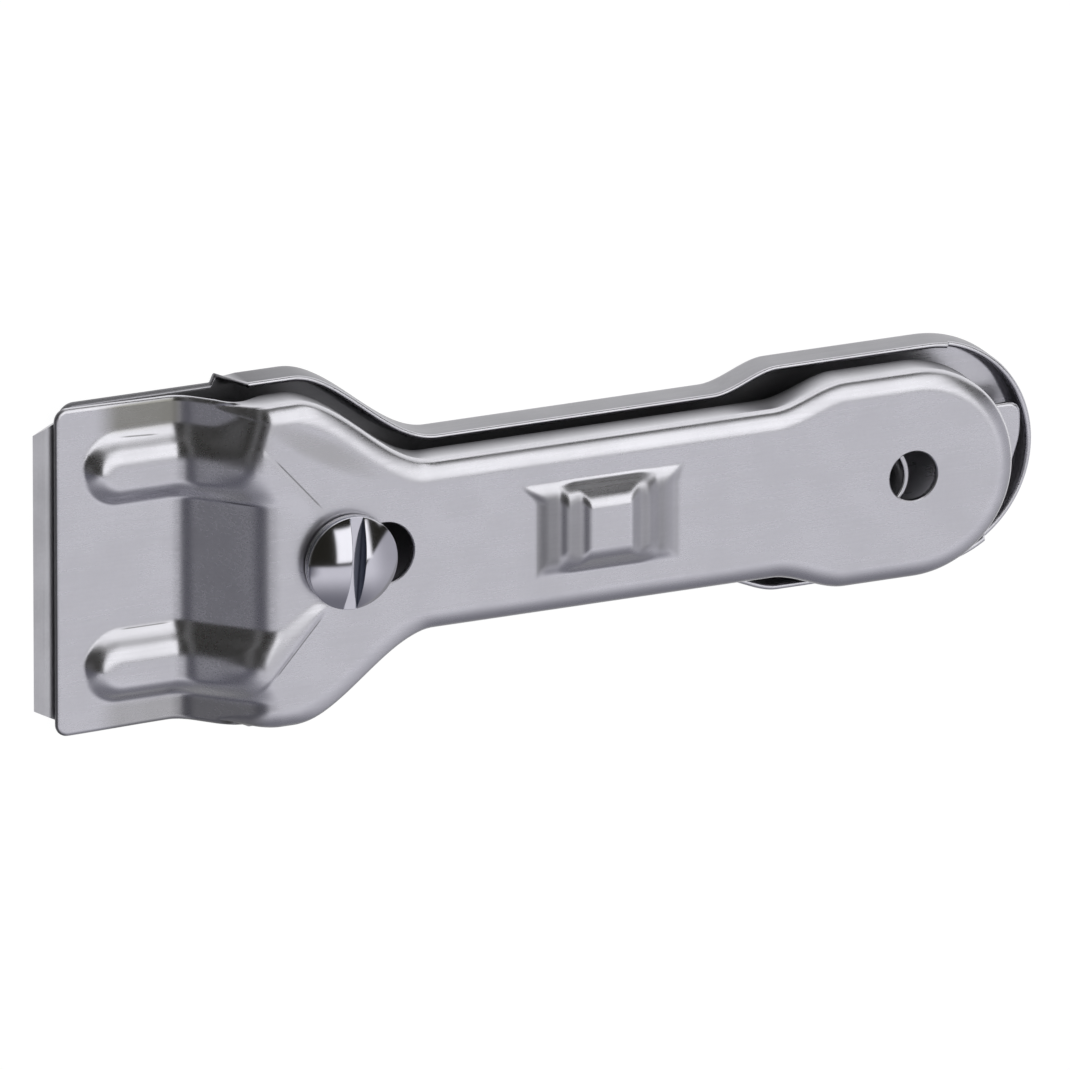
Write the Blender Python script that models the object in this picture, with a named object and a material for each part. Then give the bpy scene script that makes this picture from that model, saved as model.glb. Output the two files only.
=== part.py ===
"""A household blade scraper: two stamped steel shells that slide on each other, the blade that lies between
them and the slotted screw that clamps them.

The tool lies on its flat back. X runs from the blade to the hanging end, Y across the blade and Z up through
the shells. Places along X are counted from the front edge of the cover's clamp plate, and one parent empty
then centres the tool over the origin.
"""

import math

import bmesh
import bpy
import numpy as np

MM = 0.001

# Sheet metal and clearances
SHEET = 0.8 * MM
SEAT_GAP = 0.3 * MM
HOLE_GAP = 0.3 * MM
SIDE_GAP = 0.4 * MM
TRAVEL = 5.0 * MM

# Cover, lengths along X from the front edge of the clamp plate
PLATE_LENGTH = 17.65 * MM
RAMP_RUN = 7.45 * MM
HEAD_LENGTH = 3.6 * MM
SHOULDER_LENGTH = 19.8 * MM
HANDLE_LENGTH = 45.5 * MM
FLARE_LENGTH = 10.0 * MM
BULGE_LENGTH = 9.5 * MM

# Cover, half widths and heights
PLATE_HALF = 21.6 * MM
HEAD_HALF = 21.55 * MM
HANDLE_HALF = 11.15 * MM
BULGE_HALF = 13.7 * MM
COVER_CORNER = 1.7 * MM
RAMP_RISE = 9.3 * MM
COVER_WALL = 5.4 * MM
COVER_BEND = 2.5 * MM
RAMP_FOOT = 1.2 * MM
RAMP_CROWN = 2.0 * MM

# Clamp plate ribs and the beads that carry them to the screw
RIB_Y = 13.0 * MM
RIB_FRONT = 3.8 * MM
RIB_HALF = 4.75 * MM
RIB_SIDE = 2.7 * MM
RIB_HEIGHT = 1.5 * MM
RIB_GROWTH = 0.8 * MM
BEAD_BACK = 2.1 * MM
BEAD_SPREAD = 1.0 * MM
BEAD_END_X = 2.6 * MM
BEAD_END_Y = 5.0 * MM
BEAD_HALF = 3.0 * MM
BEAD_TIP_HALF = 1.2 * MM
BEAD_HEIGHT = 0.5 * MM
BEAD_FADE = 1.0 * MM

# Thumb grip, a stepped embossing on the handle
GRIP_FROM_SHOULDER = 22.7 * MM
GRIP_HALF_Y = 6.6 * MM
GRIP_SIDE = 3.4 * MM
GRIP_HEIGHT = 2.0 * MM
GRIP_STEPS = 3
GRIP_FIRST_RISER = 3.4 * MM
GRIP_PITCH = 2.75 * MM
GRIP_RISER = 1.2 * MM

# End tongue and hanging hole
TONGUE_REACH = 3.5 * MM
TONGUE_HALF = 5.3 * MM
TONGUE_DROP = 2.4 * MM
TONGUE_CORNER = 1.5 * MM
TONGUE_GAP = 1.3 * MM
HANG_BORE = 6.5 * MM
HANG_FROM_END_CENTRE = 0.4 * MM

# Rear shell
REAR_FRONT = 1.2 * MM
REAR_CORNER = 2.2 * MM
REAR_DEPTH = 5.5 * MM
REAR_BEND = 1.6 * MM
REAR_SHOULDER_LAG = 2.2 * MM
REAR_FLARE_LEAD = 0.7 * MM
REAR_FLARE_LENGTH = 9.0 * MM
REAR_WALL_FROM_RAMP = 4.85 * MM
REAR_WALL_RUN = 2.5 * MM
REAR_STEP_RUN = 1.5 * MM
REAR_NOTCH_DEPTH = 0.9 * MM
REAR_NOTCH_LEFT = 78.0
REAR_NOTCH_RIGHT = 56.0

# Blade and its studs
BLADE_REACH = 2.4 * MM
BLADE_LENGTH = 18.5 * MM
BLADE_WIDTH = 40.0 * MM
BLADE_EDGE_WIDTH = 36.3 * MM
BLADE_CORNER_RUN = 3.7 * MM
BLADE_THICKNESS = 0.4 * MM
BLADE_GRIND = 1.6 * MM
BLADE_EDGE = 0.06 * MM
STUD_X = 10.5 * MM
STUD_RADIUS = 2.2 * MM
STUD_SPIGOT = 1.5 * MM
STUD_STAND = 1.1 * MM
STUD_CHAMFER = 0.3 * MM

# Clamp screw, washer and threaded post
SCREW_FROM_RAMP = 10.5 * MM
SHANK_RADIUS = 2.5 * MM
SHANK_LENGTH = 9.5 * MM
HEAD_RADIUS = 6.1 * MM
HEAD_RIM = 0.6 * MM
HEAD_DOME = 1.9 * MM
DRIVE_WIDTH = 1.8 * MM
DRIVE_DEPTH = 1.7 * MM
DRIVE_TURN = -4.5
WASHER_RADIUS = 6.0 * MM
WASHER_THICKNESS = 0.5 * MM
POST_RADIUS = 5.5 * MM
POST_PILOT = 3.75 * MM
POST_SPIGOT = 3.0 * MM
POST_FLOOR = 1.2 * MM

# Hanging eyelet
EYELET_RADIUS = 4.9 * MM
EYELET_WALL = 0.65 * MM
EYELET_FOOT = 6.5 * MM
EYELET_FOOT_HEIGHT = 0.8 * MM
EYELET_LIP = 0.2 * MM

# Mesh fineness
BEND_STEPS = 3
END_STEPS = 9
CORNER_STEPS = 3
TURN_STEPS = 28
SHARP_ANGLE = 35.0
COARSE_SPACING = 20.0 * MM
PLAIN_SPACING = 4.5 * MM
CURVE_SPACING = 2.0 * MM
FINE_SPACING = 1.2 * MM
BEND_SPACING = 0.9 * MM
CUT_MARGIN = 2.0 * MM
WELD = 0.0001 * MM
NEAR_EDGE = 0.005

# Places along X
RAMP_TOP_X = PLATE_LENGTH + RAMP_RUN
SHOULDER_X = RAMP_TOP_X + HEAD_LENGTH
HANDLE_X = SHOULDER_X + SHOULDER_LENGTH
FLARE_X = HANDLE_X + HANDLE_LENGTH
END_CENTRE_X = FLARE_X + FLARE_LENGTH + BULGE_LENGTH
COVER_END_X = END_CENTRE_X + BULGE_HALF
GRIP_X = HANDLE_X + GRIP_FROM_SHOULDER
SCREW_X = RAMP_TOP_X + SCREW_FROM_RAMP
HANG_X = END_CENTRE_X - HANG_FROM_END_CENTRE
EYELET_X = HANG_X - TRAVEL
TONGUE_END_X = COVER_END_X + TONGUE_REACH
NEST = SIDE_GAP + SHEET
REAR_END_X = TONGUE_END_X + TONGUE_GAP + SHEET
REAR_END_CENTRE_X = REAR_END_X - BULGE_HALF - NEST
REAR_WALL_X = PLATE_LENGTH + REAR_WALL_FROM_RAMP
MIDDLE_X = (REAR_END_X - BLADE_REACH) / 2

# Heights
BLADE_Z = SHEET + SEAT_GAP
PLATE_Z = BLADE_Z + BLADE_THICKNESS + SEAT_GAP + SHEET
FACE_Z = PLATE_Z + RAMP_RISE
COVER_EDGE_Z = FACE_Z - COVER_WALL
TONGUE_Z = COVER_EDGE_Z - TONGUE_DROP
FOOT_Z = SHEET + SEAT_GAP
SPIGOT_Z = SHEET / 4
RAMP_SLOPE = RAMP_RISE / RAMP_RUN
WASHER_Z = FACE_Z + SEAT_GAP
HEAD_Z = WASHER_Z + WASHER_THICKNESS + SEAT_GAP

COVER_WIDTHS = (PLATE_HALF, HEAD_HALF, HANDLE_HALF, BULGE_HALF)
COVER_TURNS = (
    (0.0, PLATE_LENGTH),
    (SHOULDER_X, SHOULDER_LENGTH),
    (FLARE_X, FLARE_LENGTH),
)
REAR_WIDTHS = (PLATE_HALF, HEAD_HALF + NEST, HANDLE_HALF + NEST, BULGE_HALF + NEST)
REAR_TURNS = (
    (REAR_WALL_X - REAR_STEP_RUN, REAR_STEP_RUN),
    (SHOULDER_X + REAR_SHOULDER_LAG, SHOULDER_LENGTH),
    (FLARE_X - TRAVEL - REAR_FLARE_LEAD, REAR_FLARE_LENGTH),
)

# Shares of the way from the middle line to the bend at which the cover's face has a row of points
COVER_ROWS = (0.0, 0.14, 0.29, 0.43, 0.52, 0.6, 0.7, 0.8, 0.88, 0.95, 1.0)
REAR_ROWS = (0.0, 1.0)


def step(share):
    """A smooth step from 0 to 1 as the share goes from 0 to 1."""
    share = np.clip(share, 0.0, 1.0)
    return share * share * (3.0 - 2.0 * share)


def soft_rise(way, blend):
    """Zero before a bend and the way itself after it, with a parabola of half length blend between."""
    bent = (np.clip(way, -blend, blend) + blend) ** 2 / (4.0 * blend)
    return np.where(way > blend, way, bent)


def soft_min(one, other, blend):
    """The lower of two heights, rounded over where they come within blend of each other."""
    share = np.clip(0.5 + 0.5 * (other - one) / blend, 0.0, 1.0)
    return other + (one - other) * share - blend * share * (1.0 - share)


def half_width(x, widths, turns):
    """Half width of a shell at x: its first width, changed by a smooth step at each turn."""
    half = np.full_like(x, widths[0])
    for (start, length), before, after in zip(turns, widths, widths[1:]):
        half = half + (after - before) * step((x - start) / length)
    return half


def spaced(start, legs):
    """Places from start on, each leg given by its end and its largest spacing."""
    places = [start]
    for end, spacing in legs:
        count = max(1, math.ceil((end - places[-1]) / spacing))
        places.extend(np.linspace(places[-1], end, count + 1)[1:])
    return np.array(places)


def outline(front, corner, places, widths, turns, end_centre, marks):
    """Plan outline of a shell, from the front corner on +Y round the end to the one on -Y.

    Each station is x, y, the outward normal and the x of its point on the middle line. Marks are angles on
    the round end, counted from the middle line, that get a station on each side, so that the rim can step.
    """
    side_y = half_width(places, widths, turns)
    turn = np.linspace(0.0, math.pi / 2, CORNER_STEPS, endpoint=False)
    corner_x = front + corner * (1.0 - np.cos(turn))
    corner_y = side_y[0] - corner * (1.0 - np.sin(turn))

    tilt = np.gradient(side_y, places)
    tilt[places < PLATE_LENGTH] = 0.0
    tilt[-1] = 0.0
    length = np.hypot(1.0, tilt)

    radius = widths[-1]
    ends = np.linspace(math.pi / 2, 0.0, END_STEPS + 1)[1:]
    for mark in marks:
        ends = np.append(ends, [mark + NEAR_EDGE, mark - NEAR_EDGE])
    ends = np.sort(ends)[::-1]

    x = np.concatenate([corner_x, places, end_centre + radius * np.cos(ends)])
    y = np.concatenate([corner_y, side_y, radius * np.sin(ends)])
    normal_x = np.concatenate([turn * 0.0, -tilt / length, np.cos(ends)])
    normal_y = np.concatenate([turn * 0.0 + 1.0, 1.0 / length, np.sin(ends)])
    spine = np.minimum(x, end_centre)
    one_side = np.stack([x, y, normal_x, normal_y, spine], axis=1)
    other_side = one_side[-2::-1] * np.array([1.0, -1.0, 1.0, -1.0, 1.0])
    return np.concatenate([one_side, other_side])


def skin(stations, rows, height, depth, bend, turn, wall, rim):
    """One face of a stamped pan, as points on a grid of stations by rows.

    The rows run from the middle line over the flat to the start of the bend, round the bend and along the
    wall to the rim. Depth is 0 for the outer face and the sheet's thickness for the inner one. Turn is +1
    where the wall rises and -1 where it drops, and wall is 0 where a station has no wall yet and 1 where it
    has all of it.
    """
    x, y, normal_x, normal_y, spine = stations.T[:, :, None]
    wall, rim = wall[:, None], rim[:, None]

    def inward(reach):
        return x - normal_x * reach, y - normal_y * reach

    in_x, in_y = inward(bend)
    share = np.array(rows)
    face_x = spine + share * (in_x - spine)
    face_y = share * in_y

    angle = np.linspace(0.0, math.pi / 2, BEND_STEPS + 1)[1:]
    flat_reach = bend * (1.0 - np.arange(1, BEND_STEPS + 1) / (BEND_STEPS + 1))
    bent_reach = bend - (bend - depth) * np.sin(angle)
    flat_reach = np.append(flat_reach, 0.0)
    bent_reach = np.append(bent_reach, depth)
    edge_x, edge_y = inward(flat_reach + wall * (bent_reach - flat_reach))
    flat_z = height(*inward(flat_reach), depth)
    bent_z = height(in_x, in_y, depth) + turn * (bend - depth) * (1.0 - np.cos(angle))
    bent_z = np.concatenate([bent_z, rim], axis=1)
    edge_z = flat_z + wall * (bent_z - flat_z)

    return np.stack(
        [
            np.concatenate([face_x, edge_x], axis=1),
            np.concatenate([face_y, edge_y], axis=1),
            np.concatenate([height(face_x, face_y, depth), edge_z], axis=1),
        ],
        axis=2,
    )


def pan_mesh(outer, inner):
    """Closes the outer and inner face of a pan into one body of sheet metal."""
    stations, rows, _ = outer.shape
    mesh = bmesh.new()
    grids = []
    for face in (outer, inner):
        points = [mesh.verts.new(point) for point in face.reshape(-1, 3)]
        grids.append([points[i * rows : (i + 1) * rows] for i in range(stations)])
    for grid in grids:
        for near, far in zip(grid, grid[1:]):
            for j in range(rows - 1):
                mesh.faces.new((near[j], far[j], far[j + 1], near[j + 1]))
    top, under = grids
    for i in range(stations - 1):
        mesh.faces.new((top[i][-1], top[i + 1][-1], under[i + 1][-1], under[i][-1]))
    for i in (0, stations - 1):
        for j in range(rows - 1):
            mesh.faces.new((top[i][j], top[i][j + 1], under[i][j + 1], under[i][j]))
    bmesh.ops.remove_doubles(mesh, verts=mesh.verts, dist=WELD)
    bmesh.ops.recalc_face_normals(mesh, faces=mesh.faces)
    return mesh


def prism(points, low, high):
    """A plan outline carried straight up from low to high."""
    mesh = bmesh.new()
    base = mesh.faces.new([mesh.verts.new((x, y, low)) for x, y in points])
    top = bmesh.ops.extrude_face_region(mesh, geom=[base])["geom"]
    for corner in top:
        if isinstance(corner, bmesh.types.BMVert):
            corner.co.z = high
    bmesh.ops.recalc_face_normals(mesh, faces=mesh.faces)
    return mesh


def turned(profile):
    """A profile of radius and height, turned round the Z axis; a point at radius 0 closes it there."""
    mesh = bmesh.new()
    points = [mesh.verts.new((radius, 0.0, z)) for radius, z in profile]
    edges = [mesh.edges.new(pair) for pair in zip(points, points[1:])]
    if profile[0][0] > 0.0:
        edges.append(mesh.edges.new((points[-1], points[0])))
    bmesh.ops.spin(
        mesh,
        geom=points + edges,
        axis=(0.0, 0.0, 1.0),
        cent=(0.0, 0.0, 0.0),
        angle=2.0 * math.pi,
        steps=TURN_STEPS,
    )
    bmesh.ops.remove_doubles(mesh, verts=mesh.verts, dist=WELD)
    bmesh.ops.recalc_face_normals(mesh, faces=mesh.faces)
    return mesh


def disc(radius, low, high):
    """A round bar along Z, also used as a drill."""
    return turned([(0.0, low), (radius, low), (radius, high), (0.0, high)])


def metal(name, colour, roughness):
    """A bare metal finish."""
    material = bpy.data.materials.new(name)
    material.use_nodes = True
    shader = material.node_tree.nodes["Principled BSDF"]
    shader.inputs["Base Color"].default_value = (*colour, 1.0)
    shader.inputs["Metallic"].default_value = 1.0
    shader.inputs["Roughness"].default_value = roughness
    return material


def add(name, mesh, parent, material=None, place=(0.0, 0.0, 0.0)):
    """Adds a mesh as an object under the parent; one without a material is only a tool for cuts and joins."""
    data = bpy.data.meshes.new(name)
    mesh.to_mesh(data)
    mesh.free()
    piece = bpy.data.objects.new(name, data)
    bpy.context.collection.objects.link(piece)
    piece.parent = parent
    piece.location = place
    if material:
        data.materials.append(material)
        data.shade_smooth()
        data.set_sharp_from_angle(angle=math.radians(SHARP_ANGLE))
    else:
        piece.hide_render = True
        piece.display_type = "WIRE"
    return piece


def combine(piece, tool, operation):
    """Cuts a tool out of a piece, or joins it on."""
    boolean = piece.modifiers.new(tool.name, "BOOLEAN")
    boolean.object = tool
    boolean.operation = operation
    boolean.solver = "EXACT"


def rib_height(x, y):
    """The two ribs: flat-topped capsules along X that start on the plate and grow taller up the ramp."""
    behind = np.minimum(x - RIB_FRONT - RIB_HALF, 0.0)
    away = np.hypot(behind, np.abs(y) - RIB_Y)
    growth = RIB_GROWTH * step((x - PLATE_LENGTH) / RAMP_RUN)
    return (RIB_HEIGHT + growth) * step((RIB_HALF - away) / RIB_SIDE)


def bead_height(x, y):
    """The beads that carry on from the ribs, narrowing towards the screw and fading out at its seat."""
    start_x, start_y = RAMP_TOP_X - BEAD_BACK, RIB_Y + BEAD_SPREAD
    run_x, run_y = SCREW_X - BEAD_END_X - start_x, BEAD_END_Y - start_y
    along_x, along_y = x - start_x, np.abs(y) - start_y
    share = np.clip((along_x * run_x + along_y * run_y) / (run_x**2 + run_y**2), 0.0, 1.0)
    away = np.hypot(along_x - share * run_x, along_y - share * run_y)
    half = BEAD_HALF + (BEAD_TIP_HALF - BEAD_HALF) * share
    seat = WASHER_RADIUS + HOLE_GAP
    fade = step((np.hypot(x - SCREW_X, y) - seat) / BEAD_FADE)
    return BEAD_HEIGHT * step(1.0 - away / half) * fade


def grip_height(x, y):
    """The thumb grip: stairs along X and a plain slope across Y, whichever is lower."""
    away = np.abs(x - GRIP_X)
    stairs = np.zeros_like(away)
    for number in range(GRIP_STEPS):
        riser = GRIP_FIRST_RISER + number * GRIP_PITCH
        stairs = stairs + step((riser - away) / GRIP_RISER + 0.5) / GRIP_STEPS
    slope = np.clip((GRIP_HALF_Y - np.abs(y)) / GRIP_SIDE, 0.0, 1.0)
    return GRIP_HEIGHT * np.minimum(stairs, slope)


def cover_height(x, y, depth):
    """Height of the cover's sheet: plate, ribs and ramp, held down to the face with its beads and grip."""
    x, y = np.broadcast_arrays(x, y)
    lean = depth * math.tan(math.atan(RAMP_SLOPE) / 2.0)
    climb = RAMP_SLOPE * soft_rise(x - PLATE_LENGTH - lean, RAMP_FOOT)
    low = PLATE_Z - depth + climb + rib_height(x, y)
    high = FACE_Z - depth + bead_height(x, y) + grip_height(x, y)
    return soft_min(low, high, RAMP_CROWN)


def rear_height(x, y, depth):
    """The rear shell's floor is flat."""
    return np.broadcast_arrays(x, y)[0] * 0.0 + depth


def grip_places():
    """A place at the start, middle and end of each riser of the thumb grip, from front to back."""
    offsets = [
        GRIP_FIRST_RISER + number * GRIP_PITCH + part * GRIP_RISER
        for number in range(GRIP_STEPS)
        for part in (-0.5, 0.0, 0.5)
    ]
    return np.sort(np.concatenate([GRIP_X - np.array(offsets), GRIP_X + np.array(offsets)]))


def make_cover(parent, steel):
    """The sliding cover: clamp plate, ramp, handle and round end in one sheet, with slot, hole and tongue."""
    places = np.concatenate(
        [
            spaced(
                COVER_CORNER,
                [
                    (RIB_FRONT + RIB_HALF, FINE_SPACING),
                    (PLATE_LENGTH - RAMP_FOOT, PLAIN_SPACING),
                    (PLATE_LENGTH + RAMP_FOOT, BEND_SPACING),
                    (RAMP_TOP_X - 1.5 * RAMP_CROWN, FINE_SPACING),
                    (RAMP_TOP_X + RAMP_CROWN, BEND_SPACING),
                    (HANDLE_X, CURVE_SPACING),
                ],
            ),
            grip_places(),
            spaced(FLARE_X, [(FLARE_X + FLARE_LENGTH, CURVE_SPACING), (END_CENTRE_X, PLAIN_SPACING)]),
        ]
    )
    tongue_edge = math.asin(TONGUE_HALF / BULGE_HALF)
    stations = outline(0.0, COVER_CORNER, places, COVER_WIDTHS, COVER_TURNS, END_CENTRE_X, [tongue_edge])
    x, y = stations[:, 0], stations[:, 1]
    profile = cover_height(x, y, 0.0)
    wall = np.clip((profile - COVER_EDGE_Z) / COVER_WALL, 0.0, 1.0)
    on_tongue = (np.abs(y) < TONGUE_HALF) & (x > END_CENTRE_X)
    rim = np.where(on_tongue, TONGUE_Z + SHEET / 2, COVER_EDGE_Z)
    faces = [
        skin(stations, COVER_ROWS, cover_height, depth, COVER_BEND, -1.0, wall, rim)
        for depth in (0.0, SHEET)
    ]
    cover = add("sliding_cover", pan_mesh(*faces), parent, steel)

    root = END_CENTRE_X + math.sqrt((BULGE_HALF - SHEET / 2) ** 2 - TONGUE_HALF**2)
    tip = TONGUE_END_X - TONGUE_CORNER
    turns = np.linspace(0.0, math.pi / 2, CORNER_STEPS + 1)
    rounded = [
        (tip + TONGUE_CORNER * math.sin(a), TONGUE_HALF - TONGUE_CORNER * (1.0 - math.cos(a)))
        for a in turns
    ]
    corners = [(root, TONGUE_HALF)] + rounded
    corners += [(px, -py) for px, py in reversed(corners)]
    tongue = add("tongue", prism(corners, TONGUE_Z, TONGUE_Z + SHEET), parent)
    combine(cover, tongue, "UNION")

    radius = POST_PILOT + HOLE_GAP
    turns = np.linspace(-math.pi / 2, math.pi / 2, END_STEPS + 2)
    far = [(SCREW_X + TRAVEL + radius * math.cos(a), radius * math.sin(a)) for a in turns]
    near = [(SCREW_X - radius * math.cos(a), -radius * math.sin(a)) for a in turns]
    slot = prism(far + near, FACE_Z - SHEET - CUT_MARGIN, FACE_Z + CUT_MARGIN)
    combine(cover, add("cover_slot", slot, parent), "DIFFERENCE")

    hole = disc(HANG_BORE / 2, FACE_Z - SHEET - CUT_MARGIN, FACE_Z + CUT_MARGIN)
    drill = add("cover_hang_hole", hole, parent, place=(HANG_X, 0.0, 0.0))
    combine(cover, drill, "DIFFERENCE")


def make_rear_shell(parent, steel):
    """The rear shell: a flat-backed tray with a low wall, drilled for the post, the studs and the eyelet."""
    (head_x, head_run), (shoulder_x, shoulder_run), (flare_x, flare_run) = REAR_TURNS
    wall_end = REAR_WALL_X + REAR_WALL_RUN
    places = spaced(
        REAR_FRONT + REAR_CORNER,
        [
            (head_x, COARSE_SPACING),
            (REAR_WALL_X, BEND_SPACING),
            (wall_end, BEND_SPACING),
            (shoulder_x, PLAIN_SPACING),
            (shoulder_x + shoulder_run, CURVE_SPACING),
            (flare_x, COARSE_SPACING),
            (flare_x + flare_run, CURVE_SPACING),
            (REAR_END_CENTRE_X, COARSE_SPACING),
        ],
    )
    left, right = math.radians(REAR_NOTCH_LEFT), math.radians(REAR_NOTCH_RIGHT)
    stations = outline(
        REAR_FRONT, REAR_CORNER, places, REAR_WIDTHS, REAR_TURNS, REAR_END_CENTRE_X, [left, right]
    )
    x, y = stations[:, 0], stations[:, 1]
    wall = np.clip((x - REAR_WALL_X) / REAR_WALL_RUN, 0.0, 1.0)
    bearing = np.arctan2(y, x - REAR_END_CENTRE_X)
    in_notch = (bearing < left) & (bearing > -right)
    rim = np.where(in_notch, REAR_DEPTH - REAR_NOTCH_DEPTH, REAR_DEPTH)
    faces = [
        skin(stations, REAR_ROWS, rear_height, depth, REAR_BEND, 1.0, wall, rim)
        for depth in (0.0, SHEET)
    ]
    shell = add("rear_shell", pan_mesh(*faces), parent, steel)

    drills = {
        "post_hole": (POST_SPIGOT, SCREW_X, 0.0),
        "stud_hole_left": (STUD_SPIGOT, STUD_X, RIB_Y),
        "stud_hole_right": (STUD_SPIGOT, STUD_X, -RIB_Y),
        "eyelet_hole": (EYELET_RADIUS, EYELET_X, 0.0),
    }
    for name, (radius, place_x, place_y) in drills.items():
        drill = disc(radius + HOLE_GAP, -CUT_MARGIN, SHEET + CUT_MARGIN)
        combine(shell, add(name, drill, parent, place=(place_x, place_y, 0.0)), "DIFFERENCE")


def make_blade(parent, steel):
    """The blade: a strip with cut-off front corners, ground to an edge on top, with a hole for each stud."""
    corner_slope = (BLADE_WIDTH - BLADE_EDGE_WIDTH) / 2 / BLADE_CORNER_RUN
    edge_half = BLADE_EDGE_WIDTH / 2
    sections = [
        (0.0, edge_half, BLADE_EDGE),
        (BLADE_GRIND, edge_half + corner_slope * BLADE_GRIND, BLADE_THICKNESS),
        (BLADE_CORNER_RUN, BLADE_WIDTH / 2, BLADE_THICKNESS),
        (BLADE_LENGTH, BLADE_WIDTH / 2, BLADE_THICKNESS),
    ]
    mesh = bmesh.new()
    rings = []
    for along, half, thick in sections:
        x = along - BLADE_REACH
        around = ((half, 0.0), (-half, 0.0), (-half, thick), (half, thick))
        rings.append([mesh.verts.new((x, y, BLADE_Z + z)) for y, z in around])
    for near, far in zip(rings, rings[1:]):
        for k in range(4):
            mesh.faces.new((near[k], near[k - 1], far[k - 1], far[k]))
    mesh.faces.new(rings[0])
    mesh.faces.new(rings[-1])
    bmesh.ops.recalc_face_normals(mesh, faces=mesh.faces)
    blade = add("scraper_blade", mesh, parent, steel)
    for name, side in (("left", 1.0), ("right", -1.0)):
        drill = disc(STUD_RADIUS + HOLE_GAP, BLADE_Z - SEAT_GAP / 2, BLADE_Z + CUT_MARGIN)
        tool = add(f"blade_hole_{name}", drill, parent, place=(STUD_X, side * RIB_Y, 0.0))
        combine(blade, tool, "DIFFERENCE")


def make_studs(parent, steel):
    """The two studs: a spigot riveted in the rear shell's floor and a body that locates the blade."""
    top = BLADE_Z + BLADE_THICKNESS + STUD_STAND
    profile = [
        (0.0, SPIGOT_Z),
        (STUD_SPIGOT, SPIGOT_Z),
        (STUD_SPIGOT, FOOT_Z),
        (STUD_RADIUS, FOOT_Z),
        (STUD_RADIUS, top - STUD_CHAMFER),
        (STUD_RADIUS - STUD_CHAMFER, top),
        (0.0, top),
    ]
    for name, side in (("left", 1.0), ("right", -1.0)):
        add(f"blade_stud_{name}", turned(profile), parent, steel, (STUD_X, side * RIB_Y, 0.0))


def make_post(parent, steel):
    """The threaded post: spigot in the floor, shoulder under the cover, pilot in its slot, blind bore."""
    shoulder = FACE_Z - SHEET - SEAT_GAP
    top = FACE_Z - SHEET / 4
    bore = SHANK_RADIUS + HOLE_GAP
    profile = [
        (0.0, SPIGOT_Z),
        (POST_SPIGOT, SPIGOT_Z),
        (POST_SPIGOT, FOOT_Z),
        (POST_RADIUS, FOOT_Z),
        (POST_RADIUS, shoulder),
        (POST_PILOT, shoulder),
        (POST_PILOT, top),
        (bore, top),
        (bore, FOOT_Z + POST_FLOOR),
        (0.0, FOOT_Z + POST_FLOOR),
    ]
    add("threaded_post", turned(profile), parent, steel, (SCREW_X, 0.0, 0.0))


def make_eyelet(parent, steel):
    """The hanging eyelet: a tube riveted in the floor that props the cover's end and lines the hanging hole."""
    bore = EYELET_RADIUS - EYELET_WALL
    top = FACE_Z - SHEET - SEAT_GAP
    foot_top = FOOT_Z + EYELET_FOOT_HEIGHT
    profile = [
        (bore, SPIGOT_Z),
        (EYELET_RADIUS, SPIGOT_Z),
        (EYELET_RADIUS, FOOT_Z),
        (EYELET_FOOT, FOOT_Z),
        (EYELET_FOOT, foot_top),
        (EYELET_RADIUS, foot_top),
        (EYELET_RADIUS, top - EYELET_LIP),
        (EYELET_RADIUS - EYELET_LIP, top),
        (bore + EYELET_LIP, top),
        (bore, top - EYELET_LIP),
    ]
    add("hang_eyelet", turned(profile), parent, steel, (EYELET_X, 0.0, 0.0))


def make_screw(parent, chrome, steel):
    """The clamp screw and the washer under its head, both with their origin on the screw's axis."""
    ring = [
        (SHANK_RADIUS + HOLE_GAP, WASHER_Z),
        (WASHER_RADIUS, WASHER_Z),
        (WASHER_RADIUS, WASHER_Z + WASHER_THICKNESS),
        (SHANK_RADIUS + HOLE_GAP, WASHER_Z + WASHER_THICKNESS),
    ]
    axis = (SCREW_X, 0.0, 0.0)
    add("screw_washer", turned(ring), parent, steel, axis)

    ball = (HEAD_RADIUS**2 + HEAD_DOME**2) / (2.0 * HEAD_DOME)
    rim_z = HEAD_Z + HEAD_RIM
    spread = math.asin(HEAD_RADIUS / ball)
    dome = [
        (ball * math.sin(a), rim_z + HEAD_DOME - ball * (1.0 - math.cos(a)))
        for a in np.linspace(spread, 0.0, 6)
    ]
    shank_end = HEAD_Z - SHANK_LENGTH
    profile = [
        (0.0, shank_end),
        (SHANK_RADIUS, shank_end),
        (SHANK_RADIUS, HEAD_Z),
        (HEAD_RADIUS, HEAD_Z),
    ]
    profile += dome[:-1] + [(0.0, dome[-1][1])]
    screw = add("clamp_screw", turned(profile), parent, chrome, axis)

    half, long = DRIVE_WIDTH / 2, HEAD_RADIUS + CUT_MARGIN
    corners = [(half, -long), (half, long), (-half, long), (-half, -long)]
    top = rim_z + HEAD_DOME
    drive = add("drive_slot", prism(corners, top - DRIVE_DEPTH, top + CUT_MARGIN), parent, place=axis)
    drive.rotation_euler.z = math.radians(DRIVE_TURN)
    combine(screw, drive, "DIFFERENCE")


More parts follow.
